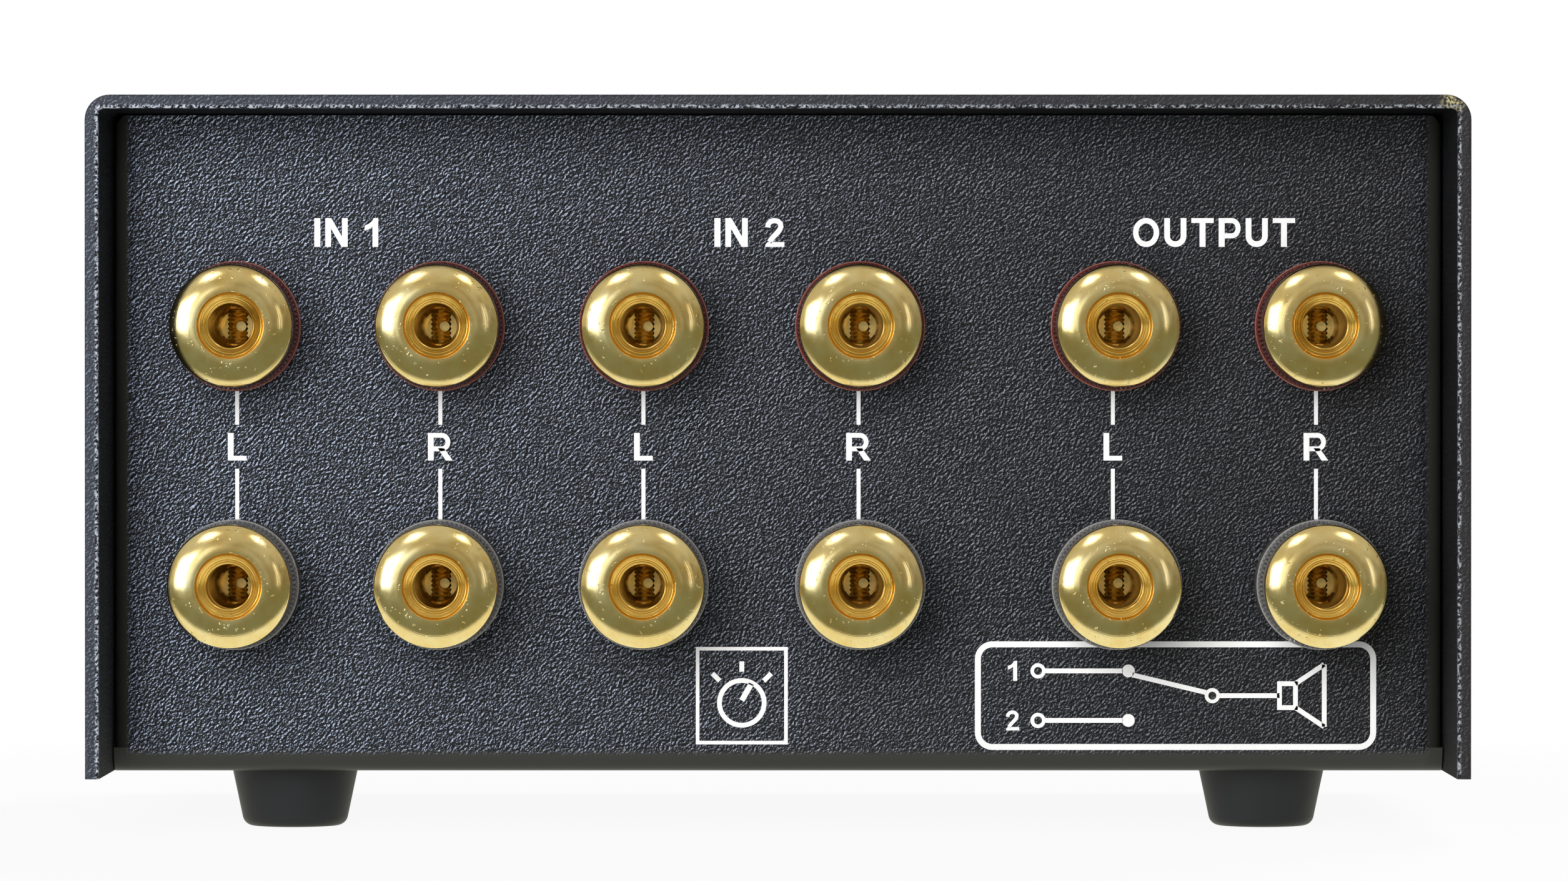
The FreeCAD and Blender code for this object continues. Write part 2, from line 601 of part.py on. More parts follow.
def make_inner_post_pieces():
    """What holds and feeds each post behind the panel: washer, nut, solder tag, nut."""
    hole = "(tail_size + tail_play) / 2"
    insulator = new_body("post_insulator")
    turned(insulator, [(hole, "0"), ("insulator_size / 2", "0"), ("insulator_size / 2", "insulator_height"),
                       (hole, "insulator_height")])
    insulator_rise = "-(chassis_sheet + insulator_height)"
    group("post_insulators", post_copies(insulator, insulator_rise))

    nut = new_body("post_nut")
    pad(nut, new_sketch(nut, "XY_Plane", [hexagon("post_nut_size"), ("0", "0", hole)]), "post_nut_height")
    first = f"{insulator_rise} - post_nut_height"
    second = f"{first} - tag_sheet - post_nut_height"
    group("post_nuts", post_copies(nut, first) + post_copies(nut, second))

    tag = new_body("solder_tag")
    pad(tag, new_sketch(tag, "XY_Plane", [("0", "0", "tag_ring / 2")]), "tag_sheet")
    tail = box_outline("-tag_width / 2", "tag_width / 2", "-tag_length", "-tag_ring / 4")
    pad(tag, new_sketch(tag, "XY_Plane", [tail]), "tag_sheet")
    cut(tag, new_sketch(tag, "XY_Plane", [("0", "0", hole)]))
    eye = [("0", "-(tag_length - tag_width * 0.75)", "tag_eye / 2")]
    cut(tag, new_sketch(tag, "XY_Plane", eye))
    rise = f"{first} - tag_sheet"
    tags = post_copies(tag, rise, post_places[:6])
    half_turn = outwards.multiply(Rotation(Vector(0, 0, 1), 180))
    tags += [copy_of(tag, half_turn, x, f"{panel_y} - ({rise})", z) for x, z in post_places[6:]]
    group("solder_tags", tags)


def make_washer():
    body = new_body("post_washer")
    hole = "(stud_size + washer_play) / 2"
    turned(body, [(hole, "0"), ("washer_size / 2", "0"), ("washer_size / 2", "washer_height"),
                  (hole, "washer_height")])
    return body, washer_seat


def make_cap():
    """Gold knob: a threaded tube with a round-shouldered head whose mouth leads to the bore."""
    body = new_body("post_cap")
    thread = "((stud_size + knob_thread_play) / 2)"
    back, face = f"({cap_back} - {knob_foot})", f"({cap_face} - {knob_foot})"
    flat, side_end = "(cap_size / 2 - cap_shoulder_width)", f"({face} - cap_shoulder_drop)"
    cap = turned(body, [(thread, "0"), ("insert_size / 2", "0"), ("insert_size / 2", back),
                        ("cap_size / 2", back), ("cap_size / 2", side_end), (flat, face), ("cap_mouth / 2", face),
                        ("cap_hole / 2", f"{face} - cap_mouth_depth"), ("cap_hole / 2", f"{face} - cap_end_wall"),
                        (thread, f"{face} - cap_end_wall")])
    widest = f"({flat} - cap_mouth / 2) / tan(atan(cap_shoulder_drop / cap_shoulder_width) / 2)"
    cap = dress(body, "Fillet", f"min(cap_round; {widest})", cap, edges_at(cap, z=face, radius=flat))
    cap = dress(body, "Fillet", "cap_edge_round", cap, edges_at(cap, z=side_end, radius="cap_size / 2"))
    dress(body, "Fillet", "cap_back_round", cap, edges_at(cap, z=back, radius="cap_size / 2"))
    return body, knob_foot


def make_sleeve():
    """Fluted sleeve on the gold tube, with a plain rim where it meets the washer."""
    body = new_body("post_sleeve")
    top = f"({cap_back} - {knob_foot} - sleeve_gap)"
    turned(body, [("insert_size / 2", "0"), ("sleeve_rim / 2", "0"), ("sleeve_rim / 2", "sleeve_rim_height"),
                  ("sleeve_size / 2", "sleeve_rim_height"), ("sleeve_size / 2", top), ("insert_size / 2", top)])
    spread = "(180 deg / flute_count)"
    outside = "(sleeve_size / 2 / cos(180 deg / flute_count) + flute_depth / 2)"
    flute = [("sleeve_size / 2 - flute_depth", "0"),
             (f"{outside} * cos({spread})", f"{outside} * sin({spread})"),
             (f"{outside} * cos({spread})", f"-{outside} * sin({spread})")]
    profile = new_sketch(body, "XY_Plane", [flute], "sleeve_rim_height")
    around(body, cut(body, profile, top, backwards=True), profile, "flute_count")
    return body, knob_foot


def make_post_knobs():
    for label, (master, rise) in (("post_washer", make_washer()), ("post_cap", make_cap()),
                                  ("post_sleeve", make_sleeve())):
        for i, (x, z) in enumerate(post_places):
            row, slack = ("plus", "upper_slack") if i < 6 else ("minus", "lower_slack")
            piece = copy_of(master, outwards, x, f"{panel_y} - ({rise} + {slack})", z)
            node(f"{label}_{row}_{i % 6 + 1}", piece)


# Rotary switch, built along Z with Z = 0 on the inner face of the front wall

wall_y = f"({front_y} - chassis_sheet)"
plate_front = "(chassis_sheet + plate_thickness)"
frame_back = "(-frame_sheet)"
star_front = f"({frame_back} - star_gap)"
star_back = f"({star_front} - star_sheet)"
wafer_fronts = ["(-front_wafer)", "(-front_wafer - wafer_step)"]
wafer_end = "(-front_wafer - wafer_step - wafer_sheet)"


def on_switch(item):
    return place(item, forwards, "0", wall_y, switch_z)


def switch_copy(master, turn, x, y, z):
    """A copy placed by the switch's own axes: x across, y down, z forwards."""
    return copy_of(master, forwards.multiply(turn), x, f"{wall_y} + ({z})", f"{switch_z} - ({y})")


def make_switch_frame():
    body = new_body("switch_frame")
    half, depth = "frame_width / 2", "frame_depth / 2"
    plate = pad(body, new_sketch(body, "XY_Plane", [box_outline(f"-{half}", half, f"-{depth}", depth)]),
                "frame_sheet", backwards=True)
    corners = [name for x in (half, f"-{half}") for y in (depth, f"-{depth}")
               for name in edges_at(plate, x=x, y=y)]
    dress(body, "Fillet", "frame_corner", plate, corners)
    bush = f"({plate_front} + bush_end)"
    pad(body, new_sketch(body, "XY_Plane", [("0", "0", "bush_size / 2")]), bush)
    holes = [("0", "0", "(shaft_size + shaft_play) / 2")]
    holes += [(f"{side} * tie_spread", "0", "tie_size / 2") for side in (-1, 1)]
    cut(body, new_sketch(body, "XY_Plane", holes))
    node("switch_frame", on_switch(body))


def make_switch_nut():
    hole = "(bush_size + thread_play) / 2"
    washer = new_body("switch_washer")
    turned(washer, [(hole, "0"), ("lock_washer_size / 2", "0"), ("lock_washer_size / 2", "lock_washer_height"),
                    (hole, "lock_washer_height")])
    nut = new_body("switch_hexagon")
    pad(nut, new_sketch(nut, "XY_Plane", [hexagon("switch_nut_size"), ("0", "0", hole)]), "switch_nut_height")
    group("switch_nut", [switch_copy(washer, upright, "0", "0", plate_front),
                         switch_copy(nut, upright, "0", "0", f"{plate_front} + lock_washer_height")])


def make_shaft():
    """Round shaft with a flat for the grub screw, the star wheel, and a flat tail for the rotors."""
    body = new_body("switch_shaft")
    tip = f"({plate_front} + shaft_reach)"
    rod = new_sketch(body, "XY_Plane", [("0", "0", "shaft_size / 2")], star_back)
    pad(body, rod, f"{tip} - {star_back}")
    wheel = new_sketch(body, "XY_Plane", [("0", "0", "star_size / 2")], star_back)
    pad(body, wheel, "star_sheet")
    notch = ("0", "star_size / 2 + roller_size / 2 - star_notch_depth", "roller_size / 2 + roller_play")
    profile = new_sketch(body, "XY_Plane", [notch], star_front)
    around(body, cut(body, profile, "star_sheet"), profile, "star_notches")
    half, thin = "shaft_blade_width / 2", "shaft_blade_thickness / 2"
    blade = new_sketch(body, "XY_Plane", [box_outline(f"-{thin}", thin, f"-{half}", half)], star_back)
    pad(body, blade, f"{star_back} - {wafer_end} + tool_over", backwards=True)
    flat = box_outline("-shaft_size", "shaft_size", "shaft_size / 2 - shaft_flat", "shaft_size")
    cut(body, new_sketch(body, "XY_Plane", [flat], tip), "shaft_flat_length")
    node("switch_shaft", on_switch(body))


def make_detent():
    roller_y = "(star_size / 2 + roller_play + roller_size / 2)"
    leaf = new_body("detent_leaf_strip")
    strip = box_outline("-detent_leaf_width / 2", "detent_leaf_width / 2",
                        f"{roller_y} + roller_size / 2", f"{roller_y} + roller_size / 2 + detent_leaf")
    pad(leaf, new_sketch(leaf, "XY_Plane", [strip], frame_back), "detent_leaf_depth", backwards=True)
    roller = new_body("detent_roller")
    circle = new_sketch(roller, "XY_Plane", [("0", roller_y, "roller_size / 2")], star_front)
    pad(roller, circle, "star_sheet", backwards=True)
    group("detent_spring", [on_switch(leaf), on_switch(roller)])


def make_wafers():
    wafer = new_body("switch_wafer")
    holes = [(f"{side} * tie_spread", "0", "(tie_size + tie_play) / 2") for side in (-1, 1)]
    holes.append(("0", "0", "rotor_size / 2 + rotor_play"))
    pad(wafer, new_sketch(wafer, "XY_Plane", [("0", "0", "wafer_size / 2")]), "wafer_sheet", backwards=True)
    cut(wafer, new_sketch(wafer, "XY_Plane", holes))
    group("switch_wafers", [switch_copy(wafer, upright, "0", "0", z) for z in wafer_fronts])

    rotor = new_body("switch_rotor")
    pad(rotor, new_sketch(rotor, "XY_Plane", [("0", "0", "rotor_size / 2")]), "wafer_sheet", backwards=True)
    half, thin = "(shaft_blade_width + blade_play) / 2", "(shaft_blade_thickness + blade_play) / 2"
    slot = box_outline(f"-{thin}", thin, f"-{half}", half)
    cut(rotor, new_sketch(rotor, "XY_Plane", [slot]))
    group("switch_rotors", [switch_copy(rotor, upright, "0", "0", z) for z in wafer_fronts])


def clip_angles():
    """Twelve clips to a wafer, half a step off the tie bolts."""
    return [15 + 30 * i for i in range(12)]


def make_clips():
    clip = new_body("contact_clip")
    strip = box_outline("clip_inner", "clip_outer", "-clip_width / 2", "clip_width / 2")
    pad(clip, new_sketch(clip, "XY_Plane", [strip]), "clip_sheet", backwards=True)
    items = [switch_copy(clip, Rotation(Vector(0, 0, 1), angle), "0", "0", f"{front} - wafer_sheet")
             for front in wafer_fronts for angle in clip_angles()]
    group("switch_contacts", items)


def make_tie_bolts():
    bolt = pan_head_screw("tie_bolt", "tie_size", "tie_head", "tie_head_height", f"-{wafer_end}", "tie_head_round")
    gaps = [(f"{wafer_fronts[0]}", frame_back), (f"{wafer_fronts[1]}", f"({wafer_fronts[0]} - wafer_sheet)")]
    items = []
    for side in (-1, 1):
        items.append(switch_copy(bolt, Rotation(Vector(1, 0, 0), 180), f"{side} * tie_spread", "0", wafer_end))
    for i, (low, high) in enumerate(gaps):
        spacer = new_body(f"tie_spacer_{i + 1}")
        ring = [("0", "0", "spacer_size / 2"), ("0", "0", "(tie_size + tie_play) / 2")]
        pad(spacer, new_sketch(spacer, "XY_Plane", ring), f"{high} - {low}")
        items += [switch_copy(spacer, upright, f"{side} * tie_spread", "0", low) for side in (-1, 1)]
    group("switch_tie_bolts", items)


def make_knob():
    """Turned selector knob: fluted grip over a plain skirt, dished face, pointer groove."""
    body = new_body("selector_knob")
    foot, front, bore = "knob_size / 2", "(knob_size - knob_taper) / 2", "(shaft_size + shaft_play) / 2"
    turned(body, [(bore, "knob_cavity_depth"), ("knob_cavity / 2", "knob_cavity_depth"),
                  ("knob_cavity / 2", "0"), (foot, "0"), (foot, "knob_skirt"), (front, "knob_length"),
                  (f"{front} - knob_dish_rim", "knob_length"),
                  (f"{front} - knob_dish_rim - knob_dish", "knob_length - knob_dish"),
                  ("0", "knob_length - knob_dish"), ("0", "knob_bore_depth"), (bore, "knob_bore_depth")])
    knob = dress(body, "Fillet", "knob_edge", body.Tip, edges_at(body.Tip, z="knob_length", radius=front))
    quarter = "(90 deg / knob_grip_count)"
    inside, outside = f"({front} - knob_grip_depth)", "(knob_size / 2 + knob_grip_depth)"
    groove = [(f"{reach} * cos({steps} * {quarter})", f"{reach} * sin({steps} * {quarter})")
              for reach, steps in ((inside, 2), (outside, 3), (outside, 1))]
    profile = new_sketch(body, "XY_Plane", [groove], "knob_skirt")
    around(body, cut(body, profile, "knob_length", backwards=True), profile, "knob_grip_count")
    pointer = box_outline("-pointer_width / 2", "pointer_width / 2",
                          f"-({foot} + tool_over)", f"-({foot} - pointer_length)")
    cut(body, new_sketch(body, "XY_Plane", [pointer], "knob_length - pointer_depth"),
        "knob_length", backwards=True)
    hole = [("0", "grub_rise", "(grub_size + thread_play) / 2")]
    cut(body, new_sketch(body, "XZ_Plane", hole), "knob_size")
    node("selector_knob", place(body, forwards, "0", f"{plate_face_y} + knob_gap", switch_z))

    grub = new_body("knob_grub_screw")
    seat = "(shaft_size / 2 - shaft_flat)"
    circle = new_sketch(grub, "XZ_Plane", [("0", "grub_rise", "grub_size / 2")], f"-({seat} + grub_length)")
    pad(grub, circle, "grub_length")
    node("knob_grub_screw", place(grub, forwards, "0", f"{plate_face_y} + knob_gap", switch_z))


# Wires from the solder tags to the clips

def tube(points, radius):
    """A round tube along straight runs joined by tangent arcs, each as large as its runs allow."""
    edges, start = [], points[0]
    for before, corner, after in zip(points, points[1:], points[2:]):
        back, ahead = before - corner, after - corner
        turn = math.pi - back.getAngle(ahead)
        setback = 0.45 * min(back.Length, ahead.Length)
        bend = setback / math.tan(turn / 2)
        back.normalize()
        ahead.normalize()
        inwards = (back + ahead).normalize()
        middle = corner + inwards * (bend / math.cos(turn / 2) - bend)
        entry, leave = corner + back * setback, corner + ahead * setback
        edges += [Part.LineSegment(start, entry).toShape(), Part.Arc(entry, middle, leave).toShape()]
        start = leave
    edges.append(Part.LineSegment(start, points[-1]).toShape())
    section = Part.Wire(Part.Circle(points[0], points[1] - points[0], radius).toShape())
    return Part.Wire(edges).makePipeShell([section], True, False)


def wire_route(column, upper):
    """Straight back from the tag, slantwise to the switch, then in towards the clip."""
    x, z = post_places[column if upper else column + 6]
    way = 1 if upper else -1
    angle = math.radians(15 + 30 * (5 - column))
    wafer = wafer_fronts[column % 2]
    clip_y = number(f"{wall_y} + {wafer} - wafer_sheet - clip_sheet / 2")
    tag_y = number(f"{panel_y} + chassis_sheet + insulator_height + post_nut_height + tag_sheet")
    tag_z = number(f"{z} - ({way} * (tag_length - tag_width * 0.75))")
    outer = number("clip_outer")
    far = outer + number("wire_lead_in")
    middle_z = number(switch_z)
    return [Vector(number(x), tag_y, tag_z),
            Vector(number(x), tag_y + number("wire_lead_out"), tag_z),
            Vector(far * math.cos(angle), clip_y, middle_z + way * far * math.sin(angle)),
            Vector(outer * math.cos(angle), clip_y, middle_z + way * outer * math.sin(angle))]


def make_wires():
    for label, upper in (("wires_red", True), ("wires_black", False)):
        strands = [tube(wire_route(column, upper), number("wire_size") / 2) for column in range(6)]
        feature = doc.addObject("Part::Feature", label)
        feature.Shape = Part.makeCompound(strands)
        feature.Placement = FreeCAD.Placement()
        node(label, feature)


make_cover()
make_chassis()
make_front_plate()
make_case_screws()
make_feet()
make_collars()
make_studs()
make_inner_post_pieces()
make_post_knobs()
make_switch_frame()
make_switch_nut()
make_shaft()
make_detent()
make_wafers()
make_clips()
make_tie_bolts()
make_knob()
make_wires()
doc.recompute()

for item in doc.Objects:
    if "Invalid" in item.State or "Error" in item.State:
        raise RuntimeError(f"{item.Label} failed: {item.State}")

os.makedirs("parts", exist_ok=True)
for label, item in nodes.items():
    shape = item.Shape
    if shape.isNull() or not shape.isValid() or not shape.Solids:
        raise RuntimeError(f"{label} has no valid solid")
    shape.exportStep(f"parts/{label}.step")
print(f"{len(nodes)} nodes, {sum(len(item.Shape.Solids) for item in nodes.values())} solids")
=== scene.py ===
import bmesh
import bpy
import json
import math
from mathutils import Matrix, Vector


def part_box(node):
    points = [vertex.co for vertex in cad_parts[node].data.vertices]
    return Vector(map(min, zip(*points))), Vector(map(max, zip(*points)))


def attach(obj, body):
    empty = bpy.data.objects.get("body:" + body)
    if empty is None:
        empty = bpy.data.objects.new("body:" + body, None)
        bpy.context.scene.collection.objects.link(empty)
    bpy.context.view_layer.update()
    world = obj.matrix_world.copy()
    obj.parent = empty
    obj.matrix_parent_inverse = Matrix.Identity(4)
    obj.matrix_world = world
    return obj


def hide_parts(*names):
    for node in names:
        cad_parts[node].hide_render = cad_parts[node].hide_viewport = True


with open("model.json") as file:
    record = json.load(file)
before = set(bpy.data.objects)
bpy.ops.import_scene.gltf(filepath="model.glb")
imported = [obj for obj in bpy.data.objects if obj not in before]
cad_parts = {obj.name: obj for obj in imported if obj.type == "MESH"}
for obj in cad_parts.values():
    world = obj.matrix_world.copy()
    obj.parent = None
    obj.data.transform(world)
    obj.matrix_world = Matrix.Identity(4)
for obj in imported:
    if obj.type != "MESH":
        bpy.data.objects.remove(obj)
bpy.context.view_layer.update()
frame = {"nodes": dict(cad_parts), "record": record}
scene = bpy.context.scene
nodes = frame["nodes"]
mm = 0.001
print("frame loaded:", len(nodes), "nodes")


# Shader expressions

class Value:                                   # a socket that takes part in Python expressions
    def __init__(self, finish, socket):
        self.finish = finish
        self.socket = socket

    def math(self, operation, first, second):
        return self.finish.add("ShaderNodeMath", {"operation": operation}, {0: first, 1: second})

    def __add__(self, other):
        return self.math("ADD", self, other)

    def __radd__(self, other):
        return self.math("ADD", other, self)

    def __sub__(self, other):
        return self.math("SUBTRACT", self, other)

    def __rsub__(self, other):
        return self.math("SUBTRACT", other, self)

    def __mul__(self, other):
        return self.math("MULTIPLY", self, other)

    def __rmul__(self, other):
        return self.math("MULTIPLY", other, self)

    def above(self, edge, soft):               # 0 below the edge, 1 above it, over a soft step
        return self.finish.add("ShaderNodeMapRange", {"interpolation_type": "SMOOTHSTEP"},
                               {"Value": self, "From Min": edge - soft, "From Max": edge + soft})

    def size(self):
        return self.math("ABSOLUTE", self, 0)


class Finish:                                  # the node tree of a material or the world
    def __init__(self, name, owner=None):
        self.material = owner or bpy.data.materials.new(name)
        self.material.use_nodes = True
        self.tree = self.material.node_tree
        self.tree.nodes.clear()

    def add(self, kind, settings=None, inputs=None, output=0):   # output None gives them all by name
        node = self.tree.nodes.new(kind)
        for key, item in (settings or {}).items():
            setattr(node, key, item)
        for key, item in (inputs or {}).items():
            if isinstance(item, Value):
                self.tree.links.new(item.socket, node.inputs[key])
            else:
                node.inputs[key].default_value = item
        if output is None:
            return {socket.name: Value(self, socket) for socket in node.outputs}
        return Value(self, node.outputs[output])

    def place(self):                           # position on the piece, in metres
        return self.add("ShaderNodeTexCoord", output=3)

    def split(self, vector):
        return self.add("ShaderNodeSeparateXYZ", None, {0: vector}, None).values()

    def joined(self, first, second, third):
        return self.add("ShaderNodeCombineXYZ", None, {0: first, 1: second, 2: third})

    def reach(self, first, second):            # distance from the axis of two coordinates
        return self.add("ShaderNodeMath", {"operation": "SQRT"}, {0: first * first + second * second})

    def stretch(self, vector, by):
        return self.add("ShaderNodeVectorMath", {"operation": "MULTIPLY"}, {0: vector, 1: by})

    def noise(self, vector, scale, detail=2.0, roughness=0.5):
        return self.add("ShaderNodeTexNoise", None,
                        {"Vector": vector, "Scale": scale, "Detail": detail, "Roughness": roughness})

    def rings(self, length, detail):           # noise along one length, such as the distance from an axis
        return self.add("ShaderNodeTexNoise", {"noise_dimensions": "1D"},
                        {"W": length, "Scale": 1.0, "Detail": detail})

    def between(self, factor, low, high):      # a colour from low to high
        return self.add("ShaderNodeMix", {"data_type": "RGBA"}, {0: factor, 6: low, 7: high}, output=2)

    def bump(self, height, distance):
        return self.add("ShaderNodeBump", None, {"Height": height, "Distance": distance})

    def surface(self, inputs):
        return self.finished(self.add("ShaderNodeBsdfPrincipled", None, inputs))

    def finished(self, shader, kind="ShaderNodeOutputMaterial"):
        self.add(kind, None, {"Surface": shader}, None)
        return self.material


def colour(red, green, blue):
    return (red, green, blue, 1)


# Finishes. A noise is (scale, detail, roughness), a step is (edge, softness), and a range is (least, more).

coatSizes = {
    "grain": (2300, 3, 0.6), "slant": 0.62, "lean": 0.00017, "patches": (45, 3),
    "breaks": (3300, 1), "breakStep": (0.47, 0.10), "glintStep": (0.085, 0.085), "glint": (0.22, 0.85),
    "low": colour(0.004, 0.0045, 0.006), "litGlintLeft": colour(0.66, 0.76, 1.0),
    "shadedGlintRight": colour(0.25, 0.25, 0.28), "litToShadedStep": (-0.015, 0.095),
    "reliefStep": (0.5, 0.25), "relief": 0.00003, "rough": (0.25, 0.08), "metal": 0.35, "shine": 0.22}
foldSizes = {
    "foldStep": (0.0812, 0.0005), "bendStep": (0.0099, 0.0005), "bend": colour(0.036, 0.036, 0.033),
    "fold": colour(0.030, 0.030, 0.026), "relief": 0.2, "rough": 0.15}
coverSizes = {
    "rimStep": (-0.0694, 0.0003), "litRimLeft": colour(0.038, 0.044, 0.058),
    "shadedRimRight": colour(0.028, 0.026, 0.028), "rimShare": 0.75, "rimGrain": (1100, 2), "rimRelief": 1.2,
    "beadSide": (0.0837, 0.0002), "beadRise": (0.0902, 0.0002), "beadGlints": (2300, 2),
    "beadStep": (0.55, 0.06), "beadGlint": colour(0.55, 0.58, 0.64), "beadShadeRight": 0.4,
    "spotPlace": (0.0828, 0.0908), "spotReach": (0.0012, 0.0009), "spots": (2600, 2),
    "spotStep": (0.53, 0.08), "spot": colour(0.50, 0.44, 0.22),
    "insideSide": (0.0842, 0.0005), "insideRise": (0.0905, 0.0005), "insideShadeShare": 0.85,
    "insideRough": 0.5, "outsideSide": (0.0848, 0.0001), "outsideShare": 0.7}


def powderCoat(folded):
    size = coatSizes
    finish = Finish("foldedCoat" if folded else "coverCoat")
    place = finish.place()
    side, along, rise = finish.split(place)
    slant, cross = (side + rise) * size["slant"], side - rise
    grain = finish.noise(finish.joined(slant, along, cross), *size["grain"])
    beside = finish.noise(finish.joined(slant, along, cross - size["lean"]), *size["grain"])
    patches = finish.noise(place, *size["patches"])
    broken = finish.noise(place, *size["breaks"]).above(*size["breakStep"])
    least, more = size["glint"]
    glint = (grain - beside).above(*size["glintStep"]) * (least + broken * more)   # painted highlights on the grain's sides that lean towards the upper left; the same mask gives the metal flecks
    # painted light and shade: the highlight colour goes from a lit bluish white at the left to a shaded grey
    # at the right, by position
    across = side.above(*size["litToShadedStep"])
    base = finish.between(glint, size["low"], finish.between(across, size["litGlintLeft"], size["shadedGlintRight"]))
    relief = grain.above(*size["reliefStep"])
    least, more = size["rough"]
    rough = least + patches * more
    if folded:                                 # the coat lies smooth round the bends
        own = foldSizes
        fold = side.size().above(*own["foldStep"])
        flat = (1 - fold) * rise.above(*own["bendStep"])
        base = finish.between(flat, finish.between(fold, own["bend"], own["fold"]), base)
        glint = glint * flat
        relief = relief * flat + patches * own["relief"]
        rough = rough + (1 - flat) * own["rough"]
    else:                                      # smooth on the rim, with painted highlights as beads along its inner edge
        own = coverSizes
        rim = 1 - along.above(*own["rimStep"])
        edge = (1 - side.size().above(*own["beadSide"])) * (1 - rise.above(*own["beadRise"]))
        beadGlints = rim * edge * finish.noise(place, *own["beadGlints"]).above(*own["beadStep"])
        # painted light and shade: the smooth rim is lighter at the left and darker at the right, by position
        smooth = finish.between(across, own["litRimLeft"], own["shadedRimRight"])
        base = finish.between(rim * (1 - edge) * own["rimShare"], base, smooth)
        away = finish.reach(side - own["spotPlace"][0], rise - own["spotPlace"][1])
        worn = finish.noise(place, *own["spots"]).above(*own["spotStep"])
        spot = rim * (1 - away.above(*own["spotReach"])) * worn
        # painted shade: the cover's inner walls are darkened towards the plain dark coat colour and keep no
        # painted highlights
        inside = (1 - rim) * (1 - side.size().above(*own["insideSide"]))
        inside = inside * (1 - rise.above(*own["insideRise"]))
        base = finish.between(inside * own["insideShadeShare"], base, size["low"])
        # painted highlights: light beads along the rim's inner edge, dimmer towards the right as painted
        # shade
        base = finish.between(beadGlints * (1 - across * own["beadShadeRight"]), base, own["beadGlint"])
        base = finish.between(spot, base, own["spot"])
        # the outer sides keep fewer of the painted highlights and show more of the plain dark coat
        outside = (1 - rim) * side.size().above(*own["outsideSide"])
        base = finish.between(outside * own["outsideShare"], base, size["low"])
        glint = glint * (1 - inside) * (1 - outside * own["outsideShare"])
        relief = relief + finish.noise(place, *own["rimGrain"]) * rim * own["rimRelief"]
        rough = rough + inside * own["insideRough"]
    return finish.surface({
        "Base Color": base,
        "Metallic": glint * size["metal"],
        "Roughness": rough,
        "Specular IOR Level": size["shine"],
        "Normal": finish.bump(relief, size["relief"])})


goldSizes = {
    "blotches": (330, 3), "specks": (1500, 2), "speckStep": (0.70, 0.025), "blotchRelief": 1.8,
    "speckRelief": 2.6, "relief": 0.000010, "rough": (0.10, 0.11), "contrast": 2.4, "shade": 0.7,
    "bright": colour(0.96, 0.81, 0.45), "deep": colour(0.84, 0.62, 0.24), "ringsAcross": 9000,
    "ringsAlong": 4000, "ringDetail": 2.0, "ringRelief": 0.5, "mouthStep": (0.0041, 0.0002),
    "mouthRelief": 2.2, "mouthRough": 0.05, "mouth": colour(0.97, 0.65, 0.18), "floorStep": (-0.003, 0.0008)}


def goldPlate(turned):
    size = goldSizes
    finish = Finish("turnedGold" if turned else "goldPlate")
    place = finish.place()
    blotches = finish.noise(place, *size["blotches"])
    specks = finish.noise(place, *size["specks"]).above(*size["speckStep"])
    relief = blotches * size["blotchRelief"] + specks * size["speckRelief"]
    least, more = size["rough"]
    rough = least + blotches * more
    base = finish.between(blotches * size["contrast"] - size["shade"], size["deep"], size["bright"])
    if turned:                                 # rings left by turning, round the piece's own axis
        side, along, rise = finish.split(place)
        away = finish.reach(side, rise)
        rings = finish.rings(away * size["ringsAcross"] + along * size["ringsAlong"], size["ringDetail"])
        mouth = 1 - away.above(*size["mouthStep"])
        relief = relief + rings * size["ringRelief"] + rings * mouth * size["mouthRelief"]
        # painted reflection: the cone in front of the bore's floor takes a deeper orange that stands for gold
        # mirrored in gold
        base = finish.between(mouth * (1 - along.above(*size["floorStep"])), base, size["mouth"])
        rough = rough + mouth * size["mouthRough"]
    return finish.surface({
        "Base Color": base,
        "Metallic": 1.0,
        "Roughness": rough,
        "Normal": finish.bump(relief, size["relief"])})


plasticSizes = {"haze": (500, 3), "rough": (0.08, 0.10), "bending": 1.49, "clear": 0.55, "relief": 0.00001}


def clearPlastic(name, low, high):
    size = plasticSizes
    finish = Finish(name)
    haze = finish.noise(finish.place(), *size["haze"])
    least, more = size["rough"]
    return finish.surface({
        "Base Color": finish.between(haze, low, high),
        "Roughness": least + haze * more,
        "IOR": size["bending"],
        "Transmission Weight": size["clear"],
        "Normal": finish.bump(haze, size["relief"])})


sleeveSizes = {
    "inside": 5.3, "side": 7.93, "rim": 8.1, "rimHeight": 0.5, "top": 5.3, "ribs": 84, "ribDepth": 0.34,
    "stepsToRib": 6, "ribReach": 0.3, "ribStart": 0.12, "footRound": 0.15, "rimRound": 0.25,
    "ledge": 0.02, "ledgeRise": 0.2, "topRound": 0.3, "roundSteps": 4, "turn": 1.3,
    "crestSoft": 0.00009, "rimFrom": 0.06, "rimSoft": 0.00003, "crest": (0.6, 0.8), "rough": (0.10, 0.10),
    "clear": 0.45}


